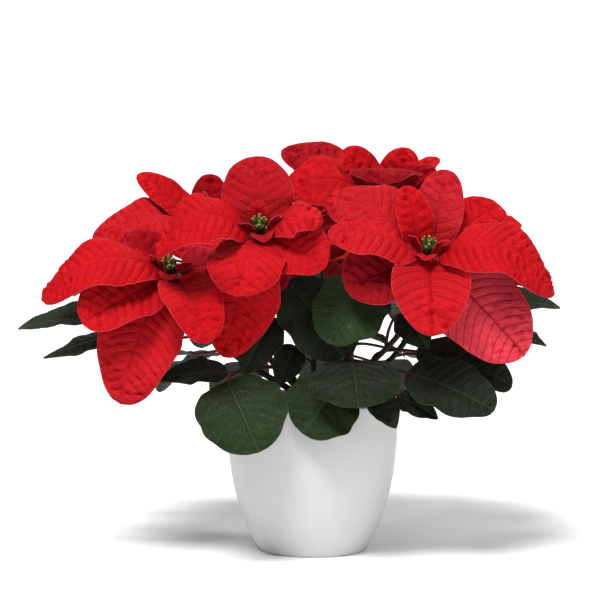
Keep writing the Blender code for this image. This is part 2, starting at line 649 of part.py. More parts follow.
def keep_one_body(mesh):
    """Fills sealed hollows and drops loose scraps: only the largest closed shell stays."""
    shape = bmesh.new()
    shape.from_mesh(mesh)
    shape.faces.ensure_lookup_table()
    left = set(shape.faces)
    shells = []
    while left:
        grown = {left.pop()}
        edge = list(grown)
        while edge:
            face = edge.pop()
            near = {other for side in face.edges for other in side.link_faces} & left
            left -= near
            grown |= near
            edge += near
        shells.append(grown)
    shells.sort(key=len)
    for scrap in shells[:-1]:
        bmesh.ops.delete(shape, geom=list(scrap), context="FACES")
    shape.to_mesh(mesh)
    shape.free()
    return mesh


def fused(name, meshes):
    """One body from overlapping closed meshes, by a Boolean union on a collection."""
    repeats = bpy.data.collections.new(name + "_repeats")
    bpy.context.scene.collection.children.link(repeats)
    for mesh in meshes[1:]:
        repeats.objects.link(bpy.data.objects.new(mesh.name, mesh))
    whole = bpy.data.objects.new(name + "_whole", meshes[0])
    bpy.context.scene.collection.objects.link(whole)
    union = whole.modifiers.new("union", "BOOLEAN")
    union.operation = "UNION"
    union.operand_type = "COLLECTION"
    union.collection = repeats
    union.solver = "MANIFOLD"
    graph = bpy.context.evaluated_depsgraph_get()
    mesh = bpy.data.meshes.new_from_object(whole.evaluated_get(graph))
    for helper in [*repeats.objects, whole]:
        bpy.data.objects.remove(helper, do_unlink=True)
    bpy.data.collections.remove(repeats)
    return keep_one_body(mesh)


def main():
    clear_scene()
    ceramic = material("white_ceramic", (0.80, 0.80, 0.79), 0.35)
    earth = material("dark_soil", (0.045, 0.03, 0.02), 0.95)
    bark = material("olive_stem", (0.16, 0.13, 0.06), 0.7)
    green = material("dark_leaf", (0.02, 0.06, 0.02), 0.5)
    red = material("red_bract", (0.62, 0.012, 0.02), 0.45)
    lime = material("green_bud", (0.16, 0.26, 0.03), 0.5)

    plant = bpy.data.objects.new("poinsettia", None)
    bpy.context.scene.collection.objects.link(plant)
    place("pot", pot_mesh(), ceramic, plant)
    place("soil", soil_mesh(), earth, plant)
    place("trunk", trunk_mesh(), bark, plant)
    for name, head in HEADS.items():
        place(f"branch_{name}", fused(f"branch_{name}", branch_meshes(name, head)), green, plant)
        place(f"bracts_{name}", fused(f"bracts_{name}", bloom_meshes(name, head)), red, plant, head.hub)
        place(f"cyathia_{name}", fused(f"cyathia_{name}", bud_meshes(head)), lime, plant, head.hub)


if __name__ == "__main__":
    main()
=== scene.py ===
"""The looks of a potted poinsettia: fine bracts, leaves, stalks, flowers, soil and pot, with a plain stage.

Tables of places and sizes are in millimetres, in the frame whose origin is under the pot's middle.
"""

import math
import random
from dataclasses import dataclass

import bmesh
import bpy
from bpy.props import FloatProperty, FloatVectorProperty, IntProperty, PointerProperty
from mathutils import Matrix, Vector, noise


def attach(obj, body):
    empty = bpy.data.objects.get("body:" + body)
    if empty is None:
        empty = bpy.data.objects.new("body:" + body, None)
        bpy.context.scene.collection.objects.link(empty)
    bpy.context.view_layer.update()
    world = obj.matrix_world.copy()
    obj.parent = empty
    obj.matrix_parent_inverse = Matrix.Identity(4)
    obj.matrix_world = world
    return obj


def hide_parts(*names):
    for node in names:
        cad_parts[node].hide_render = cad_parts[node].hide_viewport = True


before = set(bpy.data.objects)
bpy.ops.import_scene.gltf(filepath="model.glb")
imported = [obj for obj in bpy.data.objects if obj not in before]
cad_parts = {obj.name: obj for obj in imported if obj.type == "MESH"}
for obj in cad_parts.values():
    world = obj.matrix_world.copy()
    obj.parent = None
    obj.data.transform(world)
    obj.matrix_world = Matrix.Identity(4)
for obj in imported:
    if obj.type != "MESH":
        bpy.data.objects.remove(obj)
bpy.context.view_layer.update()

bl_info = {
    "name": "Potted Poinsettia",
    "version": (1, 0, 0),
    "blender": (4, 5, 0),
    "location": "View3D > Sidebar > Poinsettia",
    "description": "Builds a poinsettia with red bracts in a plain white pot",
    "category": "Add Mesh",
}

MM = 0.001
CLEARANCE = 0.3  # between neighbouring pieces
MERGE = 0.01  # points closer than this become one
SMOOTH_UP_TO = 50.0  # degrees between faces that still look smooth

# The pot, turned in rings from foot to rim
POT_HEIGHT = 124.0
POT_FOOT_RADIUS = 44.2
POT_RIM_RADIUS = 70.3
POT_FLARE = 2.8
POT_WALL = 4.0
POT_FLOOR = 5.0
POT_RINGS = 40
SHARP_CORNER = math.radians(35)
CORNER_STEPS = 5

# The soil, its hole for the trunk and the crumbs on top
SOIL_LEVEL = 105.0
SOIL_SIDES = 110
SOIL_WALL_RINGS, SOIL_TOP_RINGS = 8, 26
SOIL_TOP = 0.1  # points less than this below the soil's level belong to its top
SOIL_FLAT_EDGE = 1.0
SOIL_WAVE, SOIL_LUMP, SOIL_LUMP_SCALE = 1.6, 1.3, 0.35
WAVE_X, WAVE_Y = 0.31, 0.37  # radians of the soil's waves for each millimetre
WAVE_START_X, WAVE_START_Y = 1.7, 0.4
SOIL_SMOOTH_UP_TO = 70.0
HOLE_DEPTH = 42.0
CRUMB_COUNT = 420
CRUMB_LEAST, CRUMB_MOST = 0.6, 1.9
CRUMB_WIDE, CRUMB_TALL = (0.6, 1.0), (0.5, 0.9)
CRUMB_FROM_HOLE, CRUMB_FROM_RIM = 3.0, 4.0
CRUMB_RISE = 0.4

# The trunk and the knuckle that the branches spring from
TRUNK_RADIUS = 6.0
TRUNK_SIDES = 48
TRUNK_RINGS = 24
TRUNK_ABOVE_SOIL = 3.0
KNUCKLE_HEIGHT = 121.0
KNUCKLE_RADIUS = 9.5
KNUCKLE_START = -45.0  # degrees up the knuckle's side, where the trunk meets it
KNUCKLE_RINGS = 18
KNUCKLE_LUMP, KNUCKLE_LUMP_SCALE = 0.5, 0.4

# Branches and leaf stalks. Their bends are shares of the way from one end to the other
BRANCH_RADIUS_LOW, BRANCH_RADIUS_HIGH = 2.7, 2.1
BRANCH_START, BRANCH_END = 0.3, 0.45
BRANCH_KNOTS = 0.25
KNOT_COUNT, KNOT_SHARPNESS = 5, 12
STALK_RADIUS_LOW, STALK_RADIUS_HIGH = 1.43, 1.04
STALK_BEND = 0.3
STALK_INTO_BLADE = 7.0
TUBE_CAP = 0.02
TUBE_STEP = 0.03
TUBE_SIDE = Vector((0.31, 0.22, 0.93))  # each tube's first side is square to this

# The hubs of the flower heads, and where bracts grow from them as shares of the hub's size
HUB_RADIUS = 5.2
HUB_HEIGHT = 11.0
HUB_FOOT = 0.6
HUB_SIDES = 24
ROOT_AWAY = 0.4
ROOT_LOW, ROOT_RISE = -0.4, 0.5

# The small true flowers. Sections are shares of radius and height, from the middle of the foot up
BUD_RADIUS = 1.7
BUD_HEIGHT = 5.0
BUD_COUNT = 5
BUD_SIDES = 12
BUD_SPREAD = 3.9
BUD_STEP, BUD_STEPS = 1.0, 3
MIDDLE_BUD = 1.4
BED_HEIGHT = 2.5
BED_RADIUS = 0.85
BED_SIDES = 20
BED_SECTION = ((0.0, 0.0), (1.0, 0.0), (1.06, 0.6), (0.8, 1.0), (0.0, 1.0))
CUP_BELLY = ((0.0, 0.0), (0.6, 0.0), (0.86, 0.15), (1.0, 0.42), (0.95, 0.7), (0.7, 0.9))
CUP_MOUTH = ((0.45, 1.0), (0.3, 0.96), (0.0, 0.82))
GLAND_AWAY, GLAND_RISE = 0.85, 0.8
GLAND_SIZE = (0.75, 1.25, 0.8)
STAMEN_COUNT = 4
STAMEN_RADIUS_LOW, STAMEN_RADIUS_HIGH = 0.22, 0.16
STAMEN_LENGTH = 1.8
STAMEN_START = 0.9
STAMEN_LEAN = 0.35  # radians
ANTHER_RADIUS = 0.42
ANTHER_HEIGHT = 1.9

# The forms of bracts and leaves
BLADE_ROOT_HALF = 1.7
BLADE_TIP = 0.9999  # past this share of its length a blade may run to a point
BRACT_STALK = 0.16
BRACT_RISE, BRACT_FALL = 0.60, 0.42
POINTED = 0.16
LEAF_RISE, LEAF_FALL = 0.52, 0.50
NARROW_LEAF = 40.0
NARROW_POINTED = 0.3
LOBE, LOBES = 0.03, 3
CREST, CREST_PULL = 0.42, 2.0
SHOULDER = 10.5
SHOULDER_SHARE = 0.35
SLOPE_STEP = 0.02
ROW_EASE = 0.35
LEAST_HALF_COLUMNS, LEAST_ROWS = 5, 16

# The waves of a blade's edge
EDGE_WAVE, EDGE_WAVES = 0.05, 2.3
EDGE_DRIFT, EDGE_DRIFT_SCALE, EDGES_APART = 0.03, 0.09, 3.0
RUFFLE, RUFFLES = 0.5, 5

# How the side veins leave the midrib: forward for each millimetre out, and more with its square
VEIN_LEAN = 0.3
VEIN_BOW = 0.010

# How the quilting differs from blade to blade: by a random share, and less of it on pale bracts
QUILT_SPREAD = (0.5, 1.15)
PALE_IS_SMOOTHER = 0.6

# The relief of a blade. Of two values in brackets, a form starts at the first and is full at the second
QUILT_ROUNDNESS, QUILT_LEVEL = 0.7, 0.6
QUILT_FROM_MIDRIB = (0.5, 6.0)
QUILT_AT_EDGE, QUILT_FROM_EDGE = 0.3, (0.0, 7.0)
GROOVE_DEPTH, GROOVE_WIDTH = 0.8, 1.8
CREASE_SHARPNESS = 2.4
CREASE_BESIDE, CREASE_ALONG = 0.13, 0.17
CREASE_TOWARD_TIP = (0.5, 0.95)
CREASE_FROM_EDGE = (0.0, 5.0)
SWELL_HEIGHT = 1.4
SWELL_BESIDE, SWELL_ALONG, SWELL_SHIFT = 0.035, 0.04, 7.0
SWELL_FROM_MIDRIB = (1.0, 12.0)

# The veins and the fine net of a blade's skin
VEIN_WIDTH = 1.1
SIDE_VEIN = 0.8
MIDRIB_CORE, MIDRIB_WIDTH = 0.2, 1.98
NET_CELL = 2.2
NET_LINE, NET_DEPTH = 0.16, 0.5

# The floor and the camera, in metres, and the brightness of the sky that the camera sees
FLOOR_RADIUS = 40.0
FLOOR_SIDES = 96
CAMERA_PLACE = (0.0, -2.2, 0.40)
CAMERA_AIM = (-0.01025, 0.0, 0.2058)
SENSOR_WIDTH = 36.0  # millimetres
SKY_SEEN = 1.05


@dataclass
class Blade:
    """A bract or leaf: where its tip lies, its width, the way its upper side faces, how far its
    midrib arches that way, and how far its two halves fold up from the midrib."""

    tip: tuple
    width: float
    face: tuple
    arch: float = 0.0
    fold: float = 0.0


@dataclass
class Leaf:
    """A leaf on its branch: how far up the branch its stalk starts, the base of its blade, and the blade."""

    start: float
    base: tuple
    blade: Blade


@dataclass
class Head:
    """A flower head: its hub's centre, the way it looks, where its branch leaves the knuckle, in
    degrees round and up, its bracts, whose tips are given from the hub, and its branch's leaves."""

    hub: tuple
    axis: tuple
    leaves_knuckle: tuple
    bracts: list
    leaves: list


HEADS = {
    "left": Head(
        hub=(-113, -38, 232),
        axis=(-0.18, -0.55, 0.81),
        leaves_knuckle=(190, 32),
        bracts=[
            Blade((-104, -12, -22), 56, (0.0, -0.6, 0.8), 34, -4),
            Blade((-69, -34, -40), 60, (-0.1, -0.85, 0.5), 6, 12),
            Blade((-40, -26, -104), 70, (-0.35, -1.0, 0.2), 18, -3),
            Blade((31, -66, -51), 46, (0.1, -0.85, 0.5), 16, 8),
            Blade((-36, 14, 30), 36, (0.4, -0.8, 0.4), 3, 3),
            Blade((42, -4, 8), 34, (0.1, -0.9, 0.3), 3, 3),
            Blade((-52, 36, 8), 36, (-0.2, 0.2, 0.95), 10, 3),
            Blade((-14, 36, -2), 30, (0.0, 0.3, 0.95), 5, 3),
            Blade((-19, -8, 14), 12, (0.5, 0.1, 0.8), 2, 1),
            Blade((16, -14, 8), 14, (-0.2, 0.1, 0.9), 3, 1),
            Blade((-4, -18, -6), 16, (0.0, -0.6, 0.8), 4, 2),
        ],
        leaves=[
            Leaf(0.72, (-160, -24, 194), Blade((-239, -26, 184), 30, (0.0, -0.5, 0.85), 5, 3)),
            Leaf(0.66, (-142, -28, 184), Blade((-217, -42, 162), 30, (-0.1, -0.4, 0.9), 4, -3)),
            Leaf(0.56, (-124, -16, 174), Blade((-187, -18, 165), 28, (0.0, -0.3, 0.95), 4, 2)),
            Leaf(0.45, (-98, 6, 160), Blade((-150, 12, 140), 34, (-0.3, 0.1, 0.9), 6, 3)),
        ],
    ),
    "centre": Head(
        hub=(-42, -70, 267),
        axis=(0.0, -0.6, 0.8),
        leaves_knuckle=(240, 30),
        bracts=[
            Blade((-29, 14, -102), 70, (-0.45, -1.0, 0.15), 4, -3),
            Blade((-17, -46, -48), 62, (-0.1, -0.75, 0.65), 12, -5),
            Blade((-82, -6, -20), 54, (-0.1, -0.65, 0.75), 38, -3),
            Blade((-3, 22, 58), 58, (0.0, -0.95, 0.25), 4, 3),
            Blade((18, 10, -48), 24, (0.1, -0.9, 0.3), 3, 2),
            Blade((-2, 6, 24), 16, (0.0, -0.9, 0.4), 2, 2),
            Blade((52, -22, -28), 54, (0.1, -0.85, 0.5), 4, 5),
            Blade((50, -14, 8), 40, (0.1, -0.6, 0.8), 14, -4),
            Blade((-26, 44, 14), 34, (0.0, 0.2, 0.95), 8, 3),
            Blade((26, 44, 20), 34, (0.0, 0.2, 0.95), 8, 3),
            Blade((19, -8, 13), 12, (-0.5, 0.1, 0.8), 2, 1),
            Blade((-17, -14, 6), 14, (0.3, 0.1, 0.9), 3, 1),
            Blade((4, -20, -8), 18, (0.0, -0.6, 0.8), 4, 2),
        ],
        leaves=[
            Leaf(0.66, (-20, -42, 225), Blade((24, -50, 163), 60, (0.2, -0.9, 0.4), 4, 4)),
            Leaf(0.50, (-30, -48, 196), Blade((-56, -56, 150), 36, (-0.2, -0.9, 0.3), 3, 3)),
            Leaf(0.34, (-14, -38, 172), Blade((-28, -46, 141), 26, (0.1, -0.9, 0.3), 2, 3)),
            Leaf(0.22, (-68, -56, 152), Blade((-122, -64, 146), 30, (0.0, -0.6, 0.8), 4, 3)),
            Leaf(0.14, (-68, -70, 147), Blade((-42, -107, 95), 72, (0.0, -0.85, 0.5), 5, 4)),
        ],
    ),
    "right": Head(
        hub=(92, -60, 248),
        axis=(0.05, -0.35, 0.92),
        leaves_knuckle=(320, 30),
        bracts=[
            Blade((2, -42, -62), 62, (0.0, -0.85, 0.5), 8, 16),
            Blade((76, -14, -80), 76, (0.3, -1.0, 0.25), 5, -3),
            Blade((100, -8, -32), 60, (0.1, -0.65, 0.75), 40, -4),
            Blade((60, 32, 36), 46, (-0.1, -0.8, 0.55), 6, 3),
            Blade((76, 48, 22), 40, (0.0, -0.5, 0.85), 6, 3),
            Blade((16, 20, 66), 42, (-0.1, -0.95, 0.2), 5, 4),
            Blade((-20, 0, 54), 32, (0.3, -0.9, 0.2), 3, 3),
            Blade((-80, 22, 43), 62, (0.0, -0.75, 0.65), 20, -3),
            Blade((-80, -24, 16), 48, (0.0, -0.6, 0.8), 13, -4),
            Blade((-66, -16, -27), 60, (-0.1, -0.9, 0.4), 5, 8),
            Blade((20, 52, 0), 36, (0.0, 0.3, 0.95), 7, 3),
            Blade((-17, -6, 15), 14, (0.5, 0.1, 0.8), 2, 2),
            Blade((16, -12, 11), 14, (-0.4, 0.1, 0.8), 3, 2),
            Blade((-3, -21, -4), 18, (0.0, -0.5, 0.85), 4, 2),
        ],
        leaves=[
            Leaf(0.74, (50, -42, 226), Blade((12, -76, 178), 60, (-0.1, -0.9, 0.45), 4, 4)),
            Leaf(0.70, (128, -28, 208), Blade((200, -34, 202), 34, (0.0, -0.5, 0.85), 5, 3)),
            Leaf(0.58, (122, -14, 192), Blade((190, -24, 170), 34, (0.1, -0.4, 0.9), 5, 3)),
            Leaf(0.50, (72, -52, 200), Blade((92, -64, 172), 30, (0.1, -0.9, 0.3), 2, 3)),
            Leaf(0.40, (84, -40, 168), Blade((160, -52, 140), 44, (0.0, -0.7, 0.7), 6, 4)),
            Leaf(0.30, (76, -58, 152), Blade((144, -88, 126), 50, (0.0, -0.8, 0.6), 5, 3)),
            Leaf(0.20, (68, -60, 134), Blade((100, -72, 117), 22, (0.1, -0.8, 0.5), 2, 2)),
            Leaf(0.16, (48, -76, 138), Blade((66, -92, 112), 26, (0.2, -0.9, 0.4), 2, 3)),
            Leaf(0.26, (31, -66, 164), Blade((36, -112, 131), 74, (0.0, -0.65, 0.75), 6, -4)),
            Leaf(0.10, (24, -72, 146), Blade((-8, -84, 107), 60, (0.0, -0.9, 0.45), 3, 4)),
        ],
    ),
    "top": Head(
        hub=(63, 55, 288),
        axis=(0.1, -0.15, 0.98),
        leaves_knuckle=(38, 36),
        bracts=[
            Blade((-89, 14, 38), 48, (0.0, -0.75, 0.65), 11, -3),
            Blade((-90, -10, 5), 56, (0.0, -0.75, 0.65), 24, -4),
            Blade((-39, -4, 38), 36, (0.1, -0.8, 0.6), 3, 3),
            Blade((18, 8, 40), 36, (-0.1, -0.85, 0.5), 3, 3),
            Blade((40, -18, 23), 22, (0.0, -0.8, 0.6), 4, 3),
            Blade((44, 8, 31), 24, (0.0, -0.6, 0.8), 3, 3),
            Blade((-4, -50, 12), 60, (0.0, -0.1, 1.0), 21, -2),
            Blade((66, 22, -10), 44, (0.3, 0.1, 0.9), 12, -4),
            Blade((30, 68, -15), 44, (0.2, 0.4, 0.9), 8, -4),
            Blade((-24, 66, 6), 46, (-0.1, 0.4, 0.9), 14, -4),
        ],
        leaves=[
            Leaf(0.72, (112, 74, 246), Blade((182, 88, 212), 44, (0.2, 0.1, 0.95), 6, 3)),
            Leaf(0.66, (92, 104, 238), Blade((128, 164, 198), 46, (0.2, 0.3, 0.9), 8, 3)),
            Leaf(0.30, (72, 58, 158), Blade((130, 84, 118), 48, (0.4, 0.3, 0.85), 7, 3)),
            Leaf(0.55, (64, 34, 210), Blade((78, -10, 200), 36, (0.2, -0.1, 0.95), 4, 3)),
            Leaf(0.44, (62, 84, 200), Blade((92, 138, 162), 46, (0.2, 0.4, 0.85), 7, 3)),
        ],
    ),
    "back_left": Head(
        hub=(-90, 48, 268),
        axis=(-0.15, -0.1, 0.98),
        leaves_knuckle=(140, 34),
        bracts=[
            Blade((-93, -12, -14), 50, (0.0, -0.75, 0.65), 16, -3),
            Blade((-57, 4, 38), 30, (0.2, -0.8, 0.6), 3, 3),
            Blade((5, 21, 38), 32, (0.0, -0.9, 0.4), 3, 3),
            Blade((-66, 44, 0), 42, (-0.3, 0.2, 0.9), 12, -3),
            Blade((-12, 70, 2), 46, (0.0, 0.4, 0.9), 14, -4),
            Blade((48, 50, 8), 42, (0.2, 0.3, 0.9), 12, -3),
            Blade((56, 6, 12), 38, (0.2, -0.2, 0.9), 10, -3),
            Blade((-62, -38, -7), 36, (-0.1, -0.4, 0.9), 8, -3),
            Blade((-14, -46, -30), 62, (0.0, -0.9, 0.4), 10, -3),
            Blade((-1, -16, 26), 12, (0.1, -0.4, 0.8), 2, 1),
        ],
        leaves=[
            Leaf(0.70, (-136, 78, 234), Blade((-204, 96, 200), 44, (-0.2, 0.1, 0.95), 6, 3)),
            Leaf(0.62, (-112, 100, 226), Blade((-140, 164, 188), 46, (-0.1, 0.3, 0.9), 8, 3)),
            Leaf(0.52, (-134, 26, 206), Blade((-204, 22, 184), 38, (-0.1, -0.2, 0.95), 6, 3)),
            Leaf(0.28, (-74, 52, 156), Blade((-130, 76, 120), 46, (-0.4, 0.3, 0.85), 7, 3)),
            Leaf(0.42, (-66, 74, 188), Blade((-96, 130, 152), 46, (-0.2, 0.4, 0.85), 7, 3)),
        ],
    ),
    "middle": Head(
        hub=(8, 6, 240),
        axis=(0.0, 0.0, 1.0),
        leaves_knuckle=(0, 90),
        bracts=[
            Blade((-58, -14, 12), 40, (-0.1, -0.2, 0.95), 10, -3),
            Blade((-44, 34, 4), 40, (-0.2, 0.2, 0.95), 10, -3),
            Blade((4, 58, -6), 42, (0.0, 0.3, 0.95), 10, -3),
            Blade((44, 34, 8), 38, (0.2, 0.2, 0.95), 8, -3),
            Blade((50, -8, -4), 40, (0.2, -0.1, 0.95), 8, -3),
            Blade((6, -46, 14), 38, (0.0, -0.3, 0.95), 6, -3),
        ],
        leaves=[
            Leaf(0.55, (-26, 6, 196), Blade((-76, 8, 174), 36, (-0.2, 0.0, 0.95), 6, 3)),
            Leaf(0.45, (20, 38, 176), Blade((24, 86, 154), 30, (0.0, 0.3, 0.9), 6, 3)),
            Leaf(0.40, (30, -2, 176), Blade((76, -2, 158), 36, (0.2, 0.0, 0.95), 6, 3)),
            Leaf(0.62, (-22, 28, 212), Blade((-58, 62, 196), 42, (-0.2, 0.2, 0.95), 6, 3)),
            Leaf(0.70, (18, 32, 216), Blade((32, 86, 202), 44, (0.1, 0.2, 0.95), 6, 3)),
        ],
    ),
    "side": Head(
        hub=(112, 24, 226),
        axis=(0.5, 0.1, 0.86),
        leaves_knuckle=(359, 10),
        bracts=[
            Blade((70, -20, -14), 42, (0.4, -0.1, 0.9), 12, -3),
            Blade((60, 28, -28), 40, (0.4, 0.2, 0.85), 7, -3),
            Blade((24, 54, -4), 42, (0.2, 0.3, 0.9), 10, -3),
            Blade((-30, 40, 12), 36, (-0.1, 0.3, 0.9), 6, -3),
            Blade((-36, -10, 18), 32, (0.0, -0.1, 0.95), 5, -3),
            Blade((30, -34, -20), 36, (0.2, -0.4, 0.85), 6, -3),
            Blade((34, 6, 28), 30, (-0.5, -0.3, 0.7), 3, 3),
            Blade((50, -8, -58), 46, (0.85, 0.0, 0.5), 10, -3),
        ],
        leaves=[
            Leaf(0.70, (142, 54, 186), Blade((190, 68, 162), 40, (0.3, 0.1, 0.95), 6, 3)),
            Leaf(0.62, (126, 64, 182), Blade((166, 112, 150), 44, (0.3, 0.3, 0.9), 7, 3)),
            Leaf(0.45, (86, 16, 160), Blade((132, 14, 126), 38, (0.6, 0.0, 0.8), 6, 3)),
        ],
    ),
    "back": Head(
        hub=(3, 118, 247),
        axis=(0.0, 0.35, 0.93),
        leaves_knuckle=(88, 32),
        bracts=[
            Blade((-86, 6, -20), 46, (-0.1, 0.5, 0.85), 16, -4),
            Blade((-56, 58, -14), 44, (-0.2, 0.6, 0.8), 14, -4),
            Blade((4, 78, -38), 44, (0.0, 0.7, 0.7), 8, -4),
            Blade((60, 56, -12), 44, (0.2, 0.6, 0.8), 14, -4),
            Blade((88, 4, -26), 46, (0.1, 0.5, 0.85), 16, -4),
            Blade((38, 4, 30), 32, (-0.3, 0.7, 0.6), 3, 3),
            Blade((2, -8, 42), 34, (0.0, 0.9, 0.4), 3, 3),
            Blade((-40, 44, -62), 52, (-0.1, 1.0, 0.3), 12, -3),
            Blade((44, 42, -58), 50, (0.1, 1.0, 0.3), 12, -3),
        ],
        leaves=[
            Leaf(0.70, (60, 128, 206), Blade((120, 162, 168), 44, (0.2, 0.4, 0.9), 8, 3)),
            Leaf(0.64, (-48, 130, 204), Blade((-108, 166, 166), 46, (-0.2, 0.4, 0.9), 8, 3)),
            Leaf(0.34, (8, 94, 160), Blade((12, 150, 110), 54, (0.0, 0.8, 0.6), 7, 3)),
            Leaf(0.28, (52, 78, 146), Blade((92, 118, 104), 44, (0.3, 0.7, 0.6), 6, 3)),
            Leaf(0.22, (-44, 82, 144), Blade((-80, 122, 100), 46, (-0.3, 0.7, 0.6), 6, 3)),
        ],
    ),
}

# How pale and how dark a bract or leaf is painted, where it isn't the common colour. The dark share is
# painted shade, for blades that lie in the shade of others or turn away from the light
PLAIN_TONE = (0.0, 0.0)
# On the bracts the pale share is partly a paler tone of the bract and partly painted light, which lifts right
# 2 out of the shade of the bracts above it
BRACT_TONES_AND_SHADE = {
    ("left", 5): (0.0, 0.6),
    ("left", 6): (0.3, 0.1),
    ("left", 9): (0.0, 0.5),
    ("left", 10): (0.0, 0.4),
    ("left", 11): (0.0, 0.3),
    ("centre", 4): (0.1, 0.3),
    ("centre", 5): (0.0, 0.6),
    ("centre", 11): (0.0, 0.5),
    ("centre", 12): (0.0, 0.5),
    ("centre", 13): (0.0, 0.4),
    ("right", 2): (0.9, 0.0),
    ("right", 6): (0.2, 0.25),
    ("right", 8): (0.12, 0.15),
    ("right", 10): (0.0, 0.7),
    ("top", 1): (0.0, 0.5),
    ("top", 5): (0.0, 0.6),
    ("top", 7): (0.0, 0.7),
    ("back_left", 3): (0.0, 0.6),
    ("back_left", 10): (0.6, 0.0),
}
LEAF_TONES_AND_SHADE = {
    ("left", 1): (0.15, 0.0),
    ("left", 3): (0.0, 0.4),
    ("centre", 4): (0.0, 0.7),
    ("centre", 5): (0.3, 0.0),
    ("right", 1): (0.45, 0.0),
    ("right", 6): (0.0, 0.7),
    ("right", 9): (0.0, 0.3),
    ("right", 10): (0.35, 0.2),
}


def linear(red, green, blue):
    """A screen colour, 0 to 255, as the linear colour that shaders take."""
    shares = (value / 255 for value in (red, green, blue))
    return tuple(s / 12.92 if s <= 0.04045 else ((s + 0.055) / 1.055) ** 2.4 for s in shares)


def colour_property(name, description, screen):
    return FloatVectorProperty(
        name=name, description=description, subtype="COLOR", size=3, min=0, max=1, default=linear(*screen)
    )


def size_property(name, description, millimetres, least=0.01):
    """A length in metres, with its default given in millimetres."""
    return FloatProperty(
        name=name,
        description=description,
        default=millimetres * MM,
        min=least * MM,
        precision=5,
        unit="LENGTH",
        subtype="DISTANCE",
    )


class BractSettings(bpy.types.PropertyGroup):
    column: size_property("Column", "Width of a mesh cell on a bract", 1.8)
    row: size_property("Row", "Length of a mesh cell on a bract", 1.25)
    thickness: size_property("Thickness", "Thickness of a bract", 0.6)
    vein_gap: size_property("Vein Gap", "Distance between side veins along the midrib", 8.0)
    quilt: size_property("Quilting", "How far the surface swells between side veins", 2.3)
    crumple: size_property("Crumple", "Depth of the creases near the tip", 2.8)
    lit: colour_property("Red", "Colour of the upper side", (190, 15, 23))
    # Darker veins: partly the veins' own colour, partly painted shade in the grooves along them
    vein: colour_property("Veins", "Colour of the veins of the upper side", (134, 6, 20))
    # Toward it go the paler bracts: partly their own paler pink, partly painted light
    pale: colour_property("Pale Red", "Colour of the palest bracts", (232, 68, 84))
    # Also the colour that painted shade goes toward, on shaded bracts and at each bract's root, as well as
    # the darker mottling
    dark: colour_property("Dark Red", "Colour of the darkest bracts", (112, 2, 12))
    # Darker than the upper side: partly the underside's own duller red, partly painted shade for undersides
    # inside the plant
    under: colour_property("Underside", "Colour of the underside", (150, 15, 28))
    # A paler rim: partly the margin's own colour, partly a painted highlight along the edge
    rim: colour_property("Rim", "Colour of the thin edge", (196, 60, 74))


class LeafSettings(bpy.types.PropertyGroup):
    column: size_property("Column", "Width of a mesh cell on a leaf", 1.8)
    row: size_property("Row", "Length of a mesh cell on a leaf", 1.25)
    thickness: size_property("Thickness", "Thickness of a leaf", 0.6)
    vein_gap: size_property("Vein Gap", "Distance between side veins along the midrib", 8.5)
    quilt: size_property("Quilting", "How far the surface swells between side veins", 1.3)
    crumple: size_property("Crumple", "Depth of the creases near the tip", 0.9)
    lit: colour_property("Green", "Colour of the upper side", (23, 30, 14))
    vein: colour_property("Veins", "Colour of the veins of the upper side", (46, 60, 30))
    pale: colour_property("Pale Green", "Colour of the palest leaves", (40, 66, 18))
    # Also the colour that painted shade goes toward, on shaded leaves and at each leaf's root, as well as the
    # darker mottling
    dark: colour_property("Dark Green", "Colour of the darkest leaves", (7, 10, 7))
    under: colour_property("Underside", "Colour of the underside", (40, 50, 28))
    rim: colour_property("Rim", "Colour of the thin edge", (44, 62, 26))


class StemSettings(bpy.types.PropertyGroup):
    sides: IntProperty(name="Sides", description="Faces round a branch or stalk", default=12, min=6)
    steps: IntProperty(name="Steps", description="Faces along a branch or stalk", default=26, min=6)
    branch: colour_property("Branch", "Colour of the branches", (46, 40, 26))
    bark: colour_property("Bark", "Colour of the trunk", (96, 80, 56))
    stalk: colour_property("Stalk", "Colour of the leaf stalks", (84, 24, 34))


class FlowerSettings(bpy.types.PropertyGroup):
    cup: colour_property("Cup", "Colour of the small green flowers", (70, 96, 24))
    gland: colour_property("Gland", "Colour of their nectar glands", (170, 158, 66))
    stamen: colour_property("Stamen", "Colour of their stamens", (190, 40, 30))


class PotSettings(bpy.types.PropertyGroup):
    sides: IntProperty(name="Sides", description="Faces round the pot", default=128, min=16)
    edge: size_property("Edge", "Radius of the pot's rounded corners", 1.2)
    glaze: colour_property("Glaze", "Colour of the pot", (208, 208, 208))
    soil: colour_property("Soil", "Colour of the soil", (46, 34, 26))


class StageSettings(bpy.types.PropertyGroup):
    floor: colour_property("Floor", "Colour of the floor", (248, 248, 248))
    lens: FloatProperty(name="Lens", description="Focal length", default=161.6, min=10, unit="CAMERA")
    key: FloatProperty(name="Key Light", description="Strength of the light from the front left", default=3.7)
    side: FloatProperty(name="Side Light", description="Strength of the light from the right", default=0.9)
    back: FloatProperty(name="Back Light", description="Strength of the light from behind", default=1.2)
    sky: FloatProperty(name="Sky", description="Brightness of the surroundings", default=0.15, min=0)


class PoinsettiaSettings(bpy.types.PropertyGroup):
    bract: PointerProperty(name="Bracts", description="The red bracts", type=BractSettings)
    leaf: PointerProperty(name="Leaves", description="The green leaves", type=LeafSettings)
    stem: PointerProperty(name="Stems", description="Trunk, branches and stalks", type=StemSettings)
    flower: PointerProperty(name="Flowers", description="The small true flowers", type=FlowerSettings)
    pot: PointerProperty(name="Pot", description="The pot and its soil", type=PotSettings)
    stage: PointerProperty(name="Stage", description="Floor, lights and camera", type=StageSettings)


